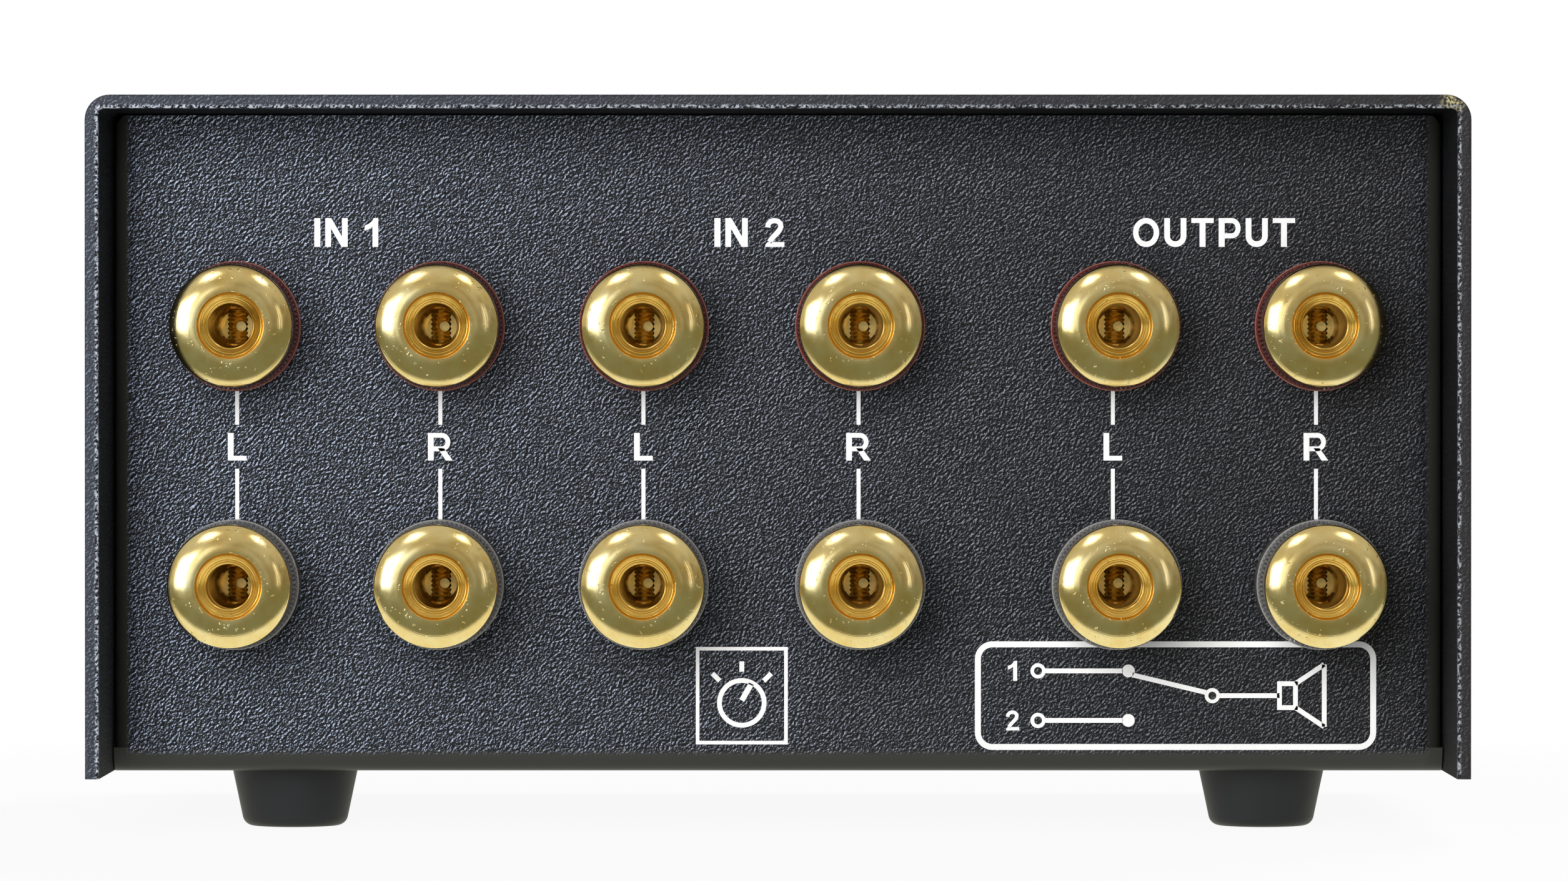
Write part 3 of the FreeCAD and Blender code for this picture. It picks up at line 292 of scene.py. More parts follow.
def sleevePlastic(name, low, high, edge):      # clearer on the ribs, pale where light gathers in the rim
    size = sleeveSizes
    finish = Finish(name)
    place = finish.place()
    haze = finish.noise(place, *plasticSizes["haze"])
    side, along, rise = finish.split(place)
    away = finish.reach(side, rise)
    crest = away.above((size["side"] - size["ribDepth"] / 2) * mm, size["crestSoft"])
    rim = away.above((size["side"] + size["rimFrom"]) * mm, size["rimSoft"])
    least, more = size["crest"]
    body = finish.between(crest * (least + haze * more), low, high)
    least, more = size["rough"]
    return finish.surface({
        "Base Color": finish.between(rim, body, edge),
        "Roughness": least + haze * more,
        "IOR": plasticSizes["bending"],
        "Transmission Weight": size["clear"],
        "Normal": finish.bump(haze, plasticSizes["relief"])})


mouldedSizes = {"detail": 3, "patches": (70, 2), "patchRough": 0.1, "relief": 0.00003}


def mouldedPlastic(name, low, high, roughness, grain=900, shine=0.5):
    size = mouldedSizes
    finish = Finish(name)
    place = finish.place()
    speckle = finish.noise(place, grain, size["detail"])
    patches = finish.noise(place, *size["patches"])
    return finish.surface({
        "Base Color": finish.between(patches, low, high),
        "Roughness": roughness + patches * size["patchRough"],
        "Specular IOR Level": shine,
        "Normal": finish.bump(speckle, size["relief"])})


platedSizes = {"clouds": (180, 4), "scratches": (1600, 2), "stretch": (1, 8, 1), "cloudRough": 0.12,
               "relief": 0.000006}


def platedMetal(name, low, high, roughness):
    size = platedSizes
    finish = Finish(name)
    place = finish.place()
    clouds = finish.noise(place, *size["clouds"])
    scratches = finish.noise(finish.stretch(place, size["stretch"]), *size["scratches"])
    return finish.surface({
        "Base Color": finish.between(clouds, low, high),
        "Metallic": 1.0,
        "Roughness": roughness + clouds * size["cloudRough"],
        "Normal": finish.bump(scratches, size["relief"])})


brushedSizes = {
    "stretch": (12, 1500, 3200), "lines": (1.0, 3, 0.6), "clouds": (40, 2),
    "low": colour(0.016, 0.016, 0.018), "high": colour(0.055, 0.055, 0.060), "metal": 0.35,
    "rough": (0.28, 0.16), "cloudRough": 0.05, "relief": 0.000012}


def brushedPlate():
    size = brushedSizes
    finish = Finish("brushedPlate")
    place = finish.place()
    lines = finish.noise(finish.stretch(place, size["stretch"]), *size["lines"])
    clouds = finish.noise(place, *size["clouds"])
    least, more = size["rough"]
    return finish.surface({
        "Base Color": finish.between(lines, size["low"], size["high"]),
        "Metallic": size["metal"],
        "Roughness": least + lines * more + clouds * size["cloudRough"],
        "Normal": finish.bump(lines, size["relief"])})


knobSizes = {
    "axisRise": 0.0495, "ringsAcross": 7000, "ringsAlong": 5000, "ringDetail": 3.0, "clouds": (120, 2),
    "low": colour(0.62, 0.62, 0.63), "high": colour(0.82, 0.82, 0.83), "rough": (0.24, 0.10),
    "relief": 0.00001}


def turnedAluminium():
    size = knobSizes
    finish = Finish("turnedAluminium")
    place = finish.place()
    side, along, rise = finish.split(place)
    away = finish.reach(side, rise - size["axisRise"])
    rings = finish.rings(away * size["ringsAcross"] + along * size["ringsAlong"], size["ringDetail"])
    clouds = finish.noise(place, *size["clouds"])
    least, more = size["rough"]
    return finish.surface({
        "Base Color": finish.between(rings, size["low"], size["high"]),
        "Metallic": 1.0,
        "Roughness": least + clouds * more,
        "Normal": finish.bump(rings, size["relief"])})


laminateSizes = {
    "stretch": (300, 80, 2200), "fibres": (1.0, 4, 0.7), "low": colour(0.20, 0.10, 0.035),
    "high": colour(0.42, 0.24, 0.10), "rough": (0.45, 0.15), "relief": 0.00001}


def laminate():
    size = laminateSizes
    finish = Finish("laminate")
    fibres = finish.noise(finish.stretch(finish.place(), size["stretch"]), *size["fibres"])
    least, more = size["rough"]
    return finish.surface({
        "Base Color": finish.between(fibres, size["low"], size["high"]),
        "Roughness": least + fibres * more,
        "Normal": finish.bump(fibres, size["relief"])})


paintSizes = {
    "grain": (2300, 1.5), "grainStep": (0.5, 0.16), "thin": (2900, 2), "thinStep": (0.72, 0.04),
    "full": colour(0.93, 0.93, 0.92), "worn": colour(0.66, 0.67, 0.68), "rough": (0.5, 0.1),
    "relief": 0.00002}


def whitePrint():
    size = paintSizes
    finish = Finish("whitePrint")
    place = finish.place()
    grain = finish.noise(place, *size["grain"]).above(*size["grainStep"])
    thin = finish.noise(place, *size["thin"]).above(*size["thinStep"])
    least, more = size["rough"]
    return finish.surface({
        "Base Color": finish.between(thin, size["full"], size["worn"]),
        "Roughness": least + grain * more,
        "Normal": finish.bump(grain, size["relief"])})


turnedGold = goldPlate(True)
clear = sleevePlastic("clearSleeve", colour(0.16, 0.155, 0.15), colour(0.36, 0.36, 0.36),
                      colour(0.55, 0.56, 0.56))
rose = sleevePlastic("roseSleeve", colour(0.07, 0.012, 0.012), colour(0.26, 0.055, 0.045),
                     colour(0.60, 0.24, 0.17))
zinc = platedMetal("zincPlate", colour(0.52, 0.53, 0.54), colour(0.68, 0.67, 0.63), 0.22)
blackSteel = platedMetal("blackSteel", colour(0.025, 0.025, 0.028), colour(0.05, 0.05, 0.052), 0.30)
foldedCoat = powderCoat(True)
paint = whitePrint()
finishes = {
    "black_powder_coat": powderCoat(False),
    "black_anodised_plate": brushedPlate(),
    "black_screws": blackSteel,
    "foot_rubber": mouldedPlastic("footRubber", colour(0.009, 0.010, 0.012), colour(0.016, 0.017, 0.020),
                                  0.46, 500, 0.3),
    "gold_plate": goldPlate(False),
    "red_translucent": clearPlastic("redPlastic", colour(0.30, 0.010, 0.018), colour(0.42, 0.02, 0.03)),
    "smoke_translucent": clearPlastic("smokePlastic", colour(0.10, 0.095, 0.09), colour(0.16, 0.15, 0.14)),
    "black_nylon": mouldedPlastic("blackNylon", colour(0.020, 0.020, 0.020), colour(0.035, 0.035, 0.035),
                                  0.45),
    "tinned_brass": platedMetal("tinnedBrass", colour(0.62, 0.60, 0.54), colour(0.76, 0.74, 0.68), 0.25),
    "red_wire": mouldedPlastic("redWire", colour(0.42, 0.015, 0.015), colour(0.52, 0.02, 0.02), 0.35),
    "black_wire": mouldedPlastic("blackWire", colour(0.016, 0.016, 0.016), colour(0.03, 0.03, 0.03), 0.35),
    "zinc_steel": zinc,
    "phenolic_board": laminate(),
    "rotor_nylon": mouldedPlastic("rotorNylon", colour(0.62, 0.60, 0.52), colour(0.74, 0.72, 0.64), 0.4),
    "turned_aluminium": turnedAluminium(),
}
ownFinishes = {"chassis": foldedCoat}
subparts = frame["record"]["subparts"]
for part in subparts:
    for slot in nodes[part["node"]].material_slots:
        slot.material = ownFinishes.get(part["node"], finishes[part["material_slot"]])
print("finishes given to", len(subparts), "nodes")


# Turned and cut shapes. A line is a list of (radius, height) in mm; heights run out of the rear panel.

def roundedLine(corners, steps=6):             # each corner is (radius, height, rounding)
    line = []
    for i, (radius, height, rounding) in enumerate(corners):
        if not rounding:
            line.append((radius, height))
            continue
        here = Vector((radius, height))
        back = (Vector(corners[i - 1][:2]) - here).normalized()
        ahead = (Vector(corners[(i + 1) % len(corners)][:2]) - here).normalized()
        half = back.angle(ahead) / 2
        centre = here + (back + ahead).normalized() * rounding / math.sin(half)
        first = here + back * rounding / math.tan(half) - centre
        last = here + ahead * rounding / math.tan(half) - centre
        begin = math.atan2(first.y, first.x)
        sweep = (math.atan2(last.y, last.x) - begin + math.pi) % (2 * math.pi) - math.pi
        for k in range(steps + 1):
            angle = begin + sweep * k / steps
            line.append((centre.x + rounding * math.cos(angle), centre.y + rounding * math.sin(angle)))
    return line


def turnedMesh(name, line, steps, relief=None):
    vertices, faces = [], []
    for radius, height in line:
        for i in range(steps):
            angle = 2 * math.pi * i / steps
            reach = radius + (relief(angle, radius, height) if relief else 0)
            vertices.append((reach * mm * math.cos(angle), -height * mm, reach * mm * math.sin(angle)))
    for k in range(len(line)):
        for i in range(steps):
            row, after = k * steps, ((k + 1) % len(line)) * steps
            faces.append((row + i, row + (i + 1) % steps, after + (i + 1) % steps, after + i))
    mesh = bpy.data.meshes.new(name)
    mesh.from_pydata(vertices, [], faces)
    return tidied(mesh)


def tidied(mesh, near=1e-7, sliver=1e-8, outward=True):
    work = bmesh.new()
    work.from_mesh(mesh)
    bmesh.ops.remove_doubles(work, verts=work.verts, dist=near)
    bmesh.ops.dissolve_degenerate(work, edges=work.edges, dist=sliver)
    if outward:
        bmesh.ops.recalc_face_normals(work, faces=work.faces)
    work.to_mesh(mesh)
    work.free()
    return mesh


def cutAway(mesh, cutters):
    body = bpy.data.objects.new("cutBody", mesh)
    scene.collection.objects.link(body)
    for cutter in cutters:
        scene.collection.objects.link(cutter)
        step = body.modifiers.new("cut", "BOOLEAN")
        step.operation = "DIFFERENCE"
        step.solver = "EXACT"
        step.object = cutter
    bpy.context.view_layer.update()
    shaped = bpy.data.meshes.new_from_object(body.evaluated_get(bpy.context.evaluated_depsgraph_get()))
    for item in [body, *cutters]:
        bpy.data.objects.remove(item)
    return shaped


def turnedCutter(line, place, steps=40):
    item = bpy.data.objects.new("cutter", turnedMesh("cutterMesh", line, steps))
    item.matrix_world = place
    return item


def arcPoints(x, z, wide, high, start, end, steps=16):
    angles = [math.radians(start + (end - start) * k / steps) for k in range(steps + 1)]
    return [(x + wide * math.cos(angle), z + high * math.sin(angle)) for angle in angles]


def addPiece(name, mesh, finish, body, place=Matrix(), crease=35, node=None):
    mesh.materials.clear()
    mesh.materials.append(finish)
    mesh.shade_smooth()
    mesh.set_sharp_from_angle(angle=math.radians(crease))
    piece = bpy.data.objects.new(name, mesh)
    scene.collection.objects.link(piece)
    piece.matrix_world = place
    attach(piece, body)
    if node:
        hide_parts(node)
    return piece


# Binding posts

posts = [(row, i) for row in ("plus", "minus") for i in range(1, 7)]
postCrease = 50


def postAxis(row, i):
    low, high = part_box(f"post_cap_{row}_{i}")
    return (low.x + high.x) / 2, (low.z + high.z) / 2


def postPlace(node, row, i, turn):             # on the post's axis, from the node's inner end
    x, z = postAxis(row, i)
    return Matrix.Translation((x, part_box(node)[1].y, z)) @ Matrix.Rotation(turn * i, 4, "Y")


def ringedLine(start, end, rings, depth):      # a cone's line with fine rings; its ends are (radius, height)
    line = []
    for k in range(2 * rings + 1):
        share = k / (2 * rings)
        radius, height = (a + (b - a) * share for a, b in zip(start, end))
        line.append((radius + depth * (k % 2), height))
    return line


capSizes = {
    "tube": 5.3, "thread": 3.56, "back": 6.0, "face": 10.4, "side": 7.6, "shoulder": 6.15, "drop": 1.2,
    "shoulderRound": 4.6, "edgeRound": 0.4, "backRound": 0.7, "lip": 4.12, "lipRound": 0.04,
    "groove": 0.42, "grooveWall": 0.16, "grooveRound": 0.02, "mouth": 3.8, "mouthDrop": 0.10,
    "mouthRound": 0.05, "hole": 2.75, "holeDrop": 1.0, "holeRound": 0.1, "coneRings": 5, "ringDepth": 0.04,
    "endWall": 8.3, "roundSteps": 9, "steps": 160, "turn": 0.7}


def makeCaps():
    size = capSizes
    face, side, hole = size["face"], size["side"], size["hole"]
    cone = ringedLine((size["mouth"], face - size["mouthDrop"]), (hole, face - size["holeDrop"]),
                      size["coneRings"], size["ringDepth"])
    line = roundedLine([
        (size["thread"], 0, 0), (size["tube"], 0, 0), (size["tube"], size["back"], 0),
        (side, size["back"], size["backRound"]), (side, face - size["drop"], size["edgeRound"]),
        (size["shoulder"], face, size["shoulderRound"]), (size["lip"], face, size["lipRound"]),
        (size["lip"] - size["grooveWall"], face - size["groove"], size["grooveRound"]),
        (size["mouth"], face - size["mouthDrop"], size["mouthRound"]),
        *[(radius, height, 0) for radius, height in cone[1:-1]],
        (hole, face - size["holeDrop"], size["holeRound"]), (hole, size["endWall"], size["holeRound"]),
        (size["thread"], size["endWall"], 0)], size["roundSteps"])
    mesh = turnedMesh("capMesh", line, size["steps"])
    for row, i in posts:
        node = f"post_cap_{row}_{i}"
        addPiece(f"cap_{row}_{i}", mesh.copy(), turnedGold, f"knob_{row}_{i}",
                 postPlace(node, row, i, size["turn"]), postCrease, node)


def makeSleeves():
    size = sleeveSizes
    rimHeight, top, wall = size["rimHeight"], size["top"], size["side"]

    def ribs(angle, radius, height):
        if radius < wall - size["ribReach"] or height < rimHeight + size["ribStart"]:
            return 0
        return -size["ribDepth"] * (0.5 - 0.5 * math.cos(size["ribs"] * angle))

    line = roundedLine([
        (size["inside"], 0, 0), (size["rim"], 0, size["footRound"]),
        (size["rim"], rimHeight, size["rimRound"]), (wall + size["ledge"], rimHeight, 0),
        (wall, rimHeight + size["ledgeRise"], 0), (wall, top / 2, 0), (wall, top, size["topRound"]),
        (size["inside"], top, 0)], size["roundSteps"])
    mesh = turnedMesh("sleeveMesh", line, size["ribs"] * size["stepsToRib"], ribs)
    for row, i in posts:
        node = f"post_sleeve_{row}_{i}"
        addPiece(f"sleeve_{row}_{i}", mesh.copy(), rose if row == "plus" else clear, f"knob_{row}_{i}",
                 postPlace(node, row, i, size["turn"]), postCrease, node)


studSizes = {
    "tail": 3.0, "tailEnd": -11.5, "tailChamfer": 0.4, "collar": 3.0, "flange": 6.0, "flangeEdge": 0.1,
    "seat": 3.94, "seatEdge": 0.15, "thread": 3.5, "threadStart": 0.3, "pitch": 0.75, "threadDepth": 0.36,
    "end": 12.7, "chamfer": 0.5, "rowsToTurn": 6, "steps": 48, "bore": 2.0, "boreEnd": 0.6, "leadIn": 2.8,
    "leadDepth": 10.5, "leadRings": 14, "ring": 0.05, "wireHole": 1.3, "wireRise": 6.4, "wireReach": 5,
    "trough": 1.3, "troughLength": 1.95, "troughRidges": 7, "ridge": 0.22, "pin": 0.62, "pinFoot": -1,
    "pinEnd": 0.5, "pinShift": 0.45, "pinSteps": 32, "crease": 40}


def makeStuds():
    size = studSizes
    low, high = size["seat"] + size["threadStart"], size["end"] - size["chamfer"]
    rows = round((high - low) / size["pitch"] * size["rowsToTurn"])

    def thread(angle, radius, height):
        if radius != size["thread"] or not low < height < high:
            return 0
        turn = (height / size["pitch"] + angle / (2 * math.pi)) % 1
        return -size["threadDepth"] * abs(2 * turn - 1)

    tail, end, flange, seat = size["tail"], size["tailEnd"], size["flange"], size["seat"]
    line = [(0, end), (tail - size["tailChamfer"], end), (tail, end + size["tailChamfer"]),
            (tail, size["collar"]), (flange - size["flangeEdge"], size["collar"]),
            (flange, size["collar"] + size["flangeEdge"]), (flange, seat - size["seatEdge"]),
            (flange - size["seatEdge"], seat), (size["thread"], seat)]
    line += [(size["thread"], low + (high - low) * k / rows) for k in range(rows + 1)]
    line.append((size["thread"] - size["chamfer"], size["end"]))
    line += ringedLine((size["leadIn"], size["end"]), (size["bore"], size["end"] - size["leadDepth"]),
                       size["leadRings"], size["ring"])
    line += [(size["bore"], size["boreEnd"]), (0, size["boreEnd"])]
    mesh = turnedMesh("studMesh", line, size["steps"], thread)
    turn = Matrix.Rotation(math.radians(90), 4, "X")
    far, half, ridges = size["wireReach"], size["troughLength"], size["troughRidges"]
    wavy = [(size["trough"] - size["ridge"] * (k % 2), half * (k / ridges - 1))
            for k in range(2 * ridges + 1)]
    mesh = cutAway(mesh, [
        turnedCutter([(0, -far), (size["wireHole"], -far), (size["wireHole"], far), (0, far)],
                     Matrix.Translation((0, -size["wireRise"] * mm, 0)) @ turn),
        turnedCutter([(0, -half), *wavy, (0, half)],
                     Matrix.Translation((0, -size["boreEnd"] * mm, 0)) @ turn)])
    tip = size["pinEnd"] + size["boreEnd"]
    pin = turnedMesh("pinMesh", [(0, size["pinFoot"]), (size["pin"], size["pinFoot"]), (size["pin"], tip),
                                 (0, tip)], size["pinSteps"])
    pin.transform(Matrix.Translation((size["pinShift"] * mm, 0, 0)))
    work = bmesh.new()
    work.from_mesh(mesh)
    work.from_mesh(pin)
    work.to_mesh(mesh)
    work.free()
    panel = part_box("chassis")[0].y
    for row, i in posts:
        x, z = postAxis(row, i)
        addPiece(f"stud_{row}_{i}", mesh.copy(), turnedGold, "case",
                 Matrix.Translation((x, panel, z)), size["crease"], "post_studs")


makeCaps()
makeSleeves()
makeStuds()
print("posts dressed")


# Coat that fills the slots under the rear panel's side folds

seamSizes = {"bend": 3.0, "sheet": 1.5, "reach": 83.1, "depth": 6.0, "low": 10.4, "high": 11.2, "steps": 10}


def makeSeams():
    size = seamSizes
    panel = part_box("chassis")[0].y / mm
    middle = (size["reach"] - size["bend"], panel + size["bend"])
    for side, name in ((-1, "left"), (1, "right")):
        outline = []
        for radius, order in ((size["bend"], 1), (size["bend"] - size["sheet"], -1)):
            arc = arcPoints(*middle, radius, radius, -90, 0, size["steps"])
            outline += (arc + [(middle[0] + radius, panel + size["depth"])])[::order]
        vertices = [Vector((side * x, y, z)) * mm for z in (size["low"], size["high"]) for x, y in outline]
        count = len(outline)
        faces = [tuple(range(count)), tuple(range(2 * count - 1, count - 1, -1))]
        faces += [(i, (i + 1) % count, count + (i + 1) % count, count + i) for i in range(count)]
        mesh = bpy.data.meshes.new("seamMesh")
        mesh.from_pydata(vertices, [], faces)
        addPiece(f"seam_{name}", tidied(mesh), foldedCoat, "case")


# Screws with cross recesses

screwSizes = {
    "case": {"thread": 1.5, "head": 2.8, "height": 1.9, "round": 0.8, "length": 4.4, "cross": 2.9},
    "foot": {"thread": 2.0, "head": 3.5, "height": 2.4, "round": 0.8, "length": 8.4, "cross": 3.8},
    "slot": 0.75, "taper": 0.55, "narrowing": 0.25, "depth": 1.1, "over": 0.2, "tip": 0.3, "seatRound": 0.1,
    "steps": 48, "crease": 30, "sideRise": 8, "sideInset": 11, "wall": 1.5, "wallRise": 12,
    "wallInset": 14, "caseTurn": 0.55, "footTurn": 0.8, "footSeat": 3.6,
    "footPlaces": ((-61.3, -35), (61.3, -35), (-65.5, 33), (65.5, 33))}
boxFaces = [(0, 1, 2, 3), (7, 6, 5, 4), (0, 4, 5, 1), (1, 5, 6, 2), (2, 6, 7, 3), (3, 7, 4, 0)]


def crossCutters(size):
    cutters = []
    wide, thin = size["cross"] / 2, screwSizes["slot"] / 2
    top, floor = size["height"] + screwSizes["over"], size["height"] - screwSizes["depth"]
    less = screwSizes["narrowing"]
    for turn in (0, 90):
        corners = [(x * wide * share, -height, z * thin * (1 - less + less * share))
                   for height, share in ((top, 1), (floor, screwSizes["taper"]))
                   for x, z in ((-1, -1), (1, -1), (1, 1), (-1, 1))]
        mesh = bpy.data.meshes.new("crossMesh")
        mesh.from_pydata([Vector(corner) * mm for corner in corners], [], boxFaces)
        item = bpy.data.objects.new("cross", tidied(mesh))
        item.matrix_world = Matrix.Rotation(math.radians(turn), 4, "Y")
        cutters.append(item)
    return cutters


def screwMesh(kind):                           # head towards -Y, seat at the origin
    size, tip = screwSizes[kind], screwSizes["tip"]
    line = roundedLine([
        (0, -size["length"], 0), (size["thread"] - tip, -size["length"], 0),
        (size["thread"], tip - size["length"], 0), (size["thread"], 0, 0),
        (size["head"], 0, screwSizes["seatRound"]), (size["head"], size["height"], size["round"]),
        (0, size["height"], 0)])
    return cutAway(turnedMesh(f"{kind}Screw", line, screwSizes["steps"]), crossCutters(size))


def makeScrews():
    size = screwSizes
    coverLow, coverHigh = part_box("cover")
    inset, rise = size["sideInset"] * mm, size["wallRise"] * mm
    mesh = screwMesh("case")
    places = []
    for side in (-1, 1):
        turn = Matrix.Rotation(math.radians(90 * side), 4, "Z")
        for y in (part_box("chassis")[0].y + inset, coverHigh.y - inset):
            seat = Matrix.Translation((side * coverHigh.x, y, coverLow.z + size["sideRise"] * mm))
            places.append(seat @ turn)
        for z in (coverLow.z + rise, coverHigh.z - rise):
            x = side * (coverHigh.x - size["wallInset"] * mm)
            places.append(Matrix.Translation((x, coverHigh.y - size["wall"] * mm, z)))
    for i, place in enumerate(places, start=1):
        spin = Matrix.Rotation(size["caseTurn"] * i, 4, "Y")
        addPiece(f"case_screw_{i}", mesh.copy(), blackSteel, "case", place @ spin,
                 size["crease"], "case_screws")
    mesh = screwMesh("foot")
    facing = Matrix.Rotation(math.radians(90), 4, "X")     # head down
    for i, (x, y) in enumerate(size["footPlaces"], start=1):
        place = Matrix.Translation(Vector((x, y, size["footSeat"])) * mm) @ facing
        spin = Matrix.Rotation(size["footTurn"] * i, 4, "Y")
        addPiece(f"foot_screw_{i}", mesh.copy(), zinc, "case", place @ spin,
                 size["crease"], "foot_screws")


makeSeams()
makeScrews()
print("screws dressed")


# Print on the rear panel and the front plate, laid out in mm as (across, up) on the face

printSizes = {"thickness": 0.03, "near": 1e-8, "sliver": 1e-9, "leastRadius": 0.01, "leastHole": 0.001}


def printMesh(name, outlines):                 # flat shapes, each a filled loop or a band between two loops
    vertices, faces = [], []
    for outer, inner in outlines:
        start, count = len(vertices), len(outer)
        vertices += outer + (inner or [])
        if not inner:
            faces.append(tuple(range(start, start + count)))
            continue
        for i in range(count):
            after = (i + 1) % count
            faces.append((start + i, start + after, start + count + after, start + count + i))
    mesh = bpy.data.meshes.new(name)
    mesh.from_pydata([(x * mm, 0, z * mm) for x, z in vertices], [], faces)
    return mesh


def roundedLoop(x, z, wide, high, radius, steps=8):
    loop = []
    for k, (right, up) in enumerate(((1, 1), (-1, 1), (-1, -1), (1, -1))):
        for step in range(steps + 1):
            angle = math.radians(90 * k + 90 * step / steps)
            loop.append((x + right * (wide / 2 - radius) + radius * math.cos(angle),
                         z + up * (high / 2 - radius) + radius * math.sin(angle)))
    return loop


def frameBand(x, z, wide, high, radius, line):
    inner = max(radius - line, printSizes["leastRadius"])
    return (roundedLoop(x, z, wide, high, radius),
            roundedLoop(x, z, wide - 2 * line, high - 2 * line, inner))


def ringBand(x, z, radius, line, steps=48):
    def circle(reach):
        angles = [2 * math.pi * i / steps for i in range(steps)]
        return [(x + reach * math.cos(angle), z + reach * math.sin(angle)) for angle in angles]
    return circle(radius), circle(max(radius - line, printSizes["leastHole"]))


def ribbonBand(points, line, closed=False):    # a line of even width through the points
    count = len(points)
    left, right = [], []
    for i, (x, z) in enumerate(points):
        before = points[i - 1] if i or closed else points[i]
        after = points[(i + 1) % count] if i < count - 1 or closed else points[i]
        way = Vector((after[0] - before[0], after[1] - before[1])).normalized() * line / 2
        left.append((x - way.y, z + way.x))
        right.append((x + way.y, z - way.x))
    return (left, right) if closed else (left + right[::-1], None)


# Each letter is as high as 1 and is made of filled outlines and ribbons
stem = ([(0, 0), (0, 1), (0.21, 1), (0.21, 0)], None)
letters = {
    "I": [stem],
    "L": [([(0, 0), (0, 1), (0.21, 1), (0.21, 0.17), (0.68, 0.17), (0.68, 0)], None)],
    "N": [([(0, 0), (0, 1), (0.21, 1), (0.58, 0.36), (0.58, 1), (0.78, 1), (0.78, 0), (0.57, 0),
            (0.2, 0.63), (0.2, 0)], None)],
    "T": [([(0, 1), (0.78, 1), (0.78, 0.83), (0.495, 0.83), (0.495, 0), (0.285, 0), (0.285, 0.83),
            (0, 0.83)], None)],
    "U": [ribbonBand([(0.105, 1), (0.105, 0.37), *arcPoints(0.39, 0.37, 0.285, 0.275, 180, 360),
                      (0.675, 1)], 0.2)],
    "P": [stem, ribbonBand([(0.2, 0.915), (0.45, 0.915), *arcPoints(0.45, 0.65, 0.225, 0.265, 90, -90),
                            (0.2, 0.385)], 0.175)],
    "R": [stem, ribbonBand([(0.2, 0.915), (0.5, 0.915), *arcPoints(0.5, 0.67, 0.225, 0.245, 90, -90),
                            (0.2, 0.425)], 0.175),
          ([(0.36, 0.45), (0.58, 0.45), (0.9, 0), (0.65, 0)], None)],
    "1": [([(0.27, 0), (0.27, 0.7), (0.14, 0.61), (0, 0.56), (0, 0.74), (0.14, 0.8), (0.25, 0.89),
            (0.31, 1), (0.47, 1), (0.47, 0)], None)],
    "2": [ribbonBand([(0.1, 0.68), (0.12, 0.79), (0.2, 0.88), (0.33, 0.915), (0.46, 0.89), (0.545, 0.81),
                      (0.56, 0.7), (0.52, 0.6), (0.42, 0.48), (0.27, 0.32), (0.16, 0.17)], 0.18),
          ([(0.02, 0), (0.02, 0.08), (0.1, 0.17), (0.68, 0.17), (0.68, 0)], None)],
}
ovals = {"O": (0.455, 0.36), "0": (0.33, 0.235)}
ovalSizes = {"middle": 0.5, "high": 0.41, "line": 0.19, "steps": 40}
for name, (middle, wide) in ovals.items():
    loop = arcPoints(middle, ovalSizes["middle"], wide, ovalSizes["high"], 0, 360, ovalSizes["steps"])[:-1]
    letters[name] = [ribbonBand(loop, ovalSizes["line"], True)]
letterGaps = {"letter": 0.17, "word": 0.42}


def movedBands(bands, x, z, scale=1):
    return [[[(x + px * scale, z + pz * scale) for px, pz in loop] if loop else None for loop in band]
            for band in bands]


def wordBands(text, height, x=0, z=0):         # centred on the place
    bands, pen = [], 0
    for letter in text:
        if letter == " ":
            pen += letterGaps["word"]
            continue
        shapes = letters[letter]
        right = max(point[0] for band in shapes for loop in band if loop for point in loop)
        bands += movedBands(shapes, pen, 0)
        pen += right + letterGaps["letter"]
    middle = (pen - letterGaps["letter"]) / 2
    return movedBands(movedBands(bands, -middle, -0.5), x, z, height)


def addPrint(name, bands, face, x, z):
    mesh = tidied(printMesh(name, bands), printSizes["near"], printSizes["sliver"], False)
    over = printSizes["thickness"] * mm
    if face == "rear":
        lie = Matrix.Translation((x * mm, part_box("chassis")[0].y - over, z * mm))
    else:
        lie = Matrix.Translation((x * mm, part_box("front_plate")[1].y + over, z * mm))
        lie = lie @ Matrix.Rotation(math.pi, 4, "Z")
    addPiece(name, mesh, paint, "case", lie)


rearPrint = {
    "headings": (("IN 1", -54.0), ("IN 2", -3.6), ("OUTPUT", 54.5)), "headingZ": 74.95,
    "headingHeight": 3.6, "sideZ": 48.15, "sideHeight": 3.45, "lineShift": -0.15, "linkZ": 45,
    "links": ((50.9, 55.6), (39.0, 45.4)), "linkLine": 0.5}


def makeHeadings():
    size = rearPrint
    for text, x in size["headings"]:
        name = "print_" + text.lower().replace(" ", "_")
        addPrint(name, wordBands(text, size["headingHeight"]), "rear", x, size["headingZ"])
    for i in range(1, 7):
        x = postAxis("plus", i)[0] / mm + size["lineShift"]
        letter = "L" if i % 2 else "R"
        addPrint(f"print_side_{i}", wordBands(letter, size["sideHeight"]), "rear", x, size["sideZ"])
        middle = size["linkZ"]
        bands = [ribbonBand([(0, low - middle), (0, high - middle)], size["linkLine"])
                 for low, high in size["links"]]
        addPrint(f"print_link_{i}", bands, "rear", x, middle)


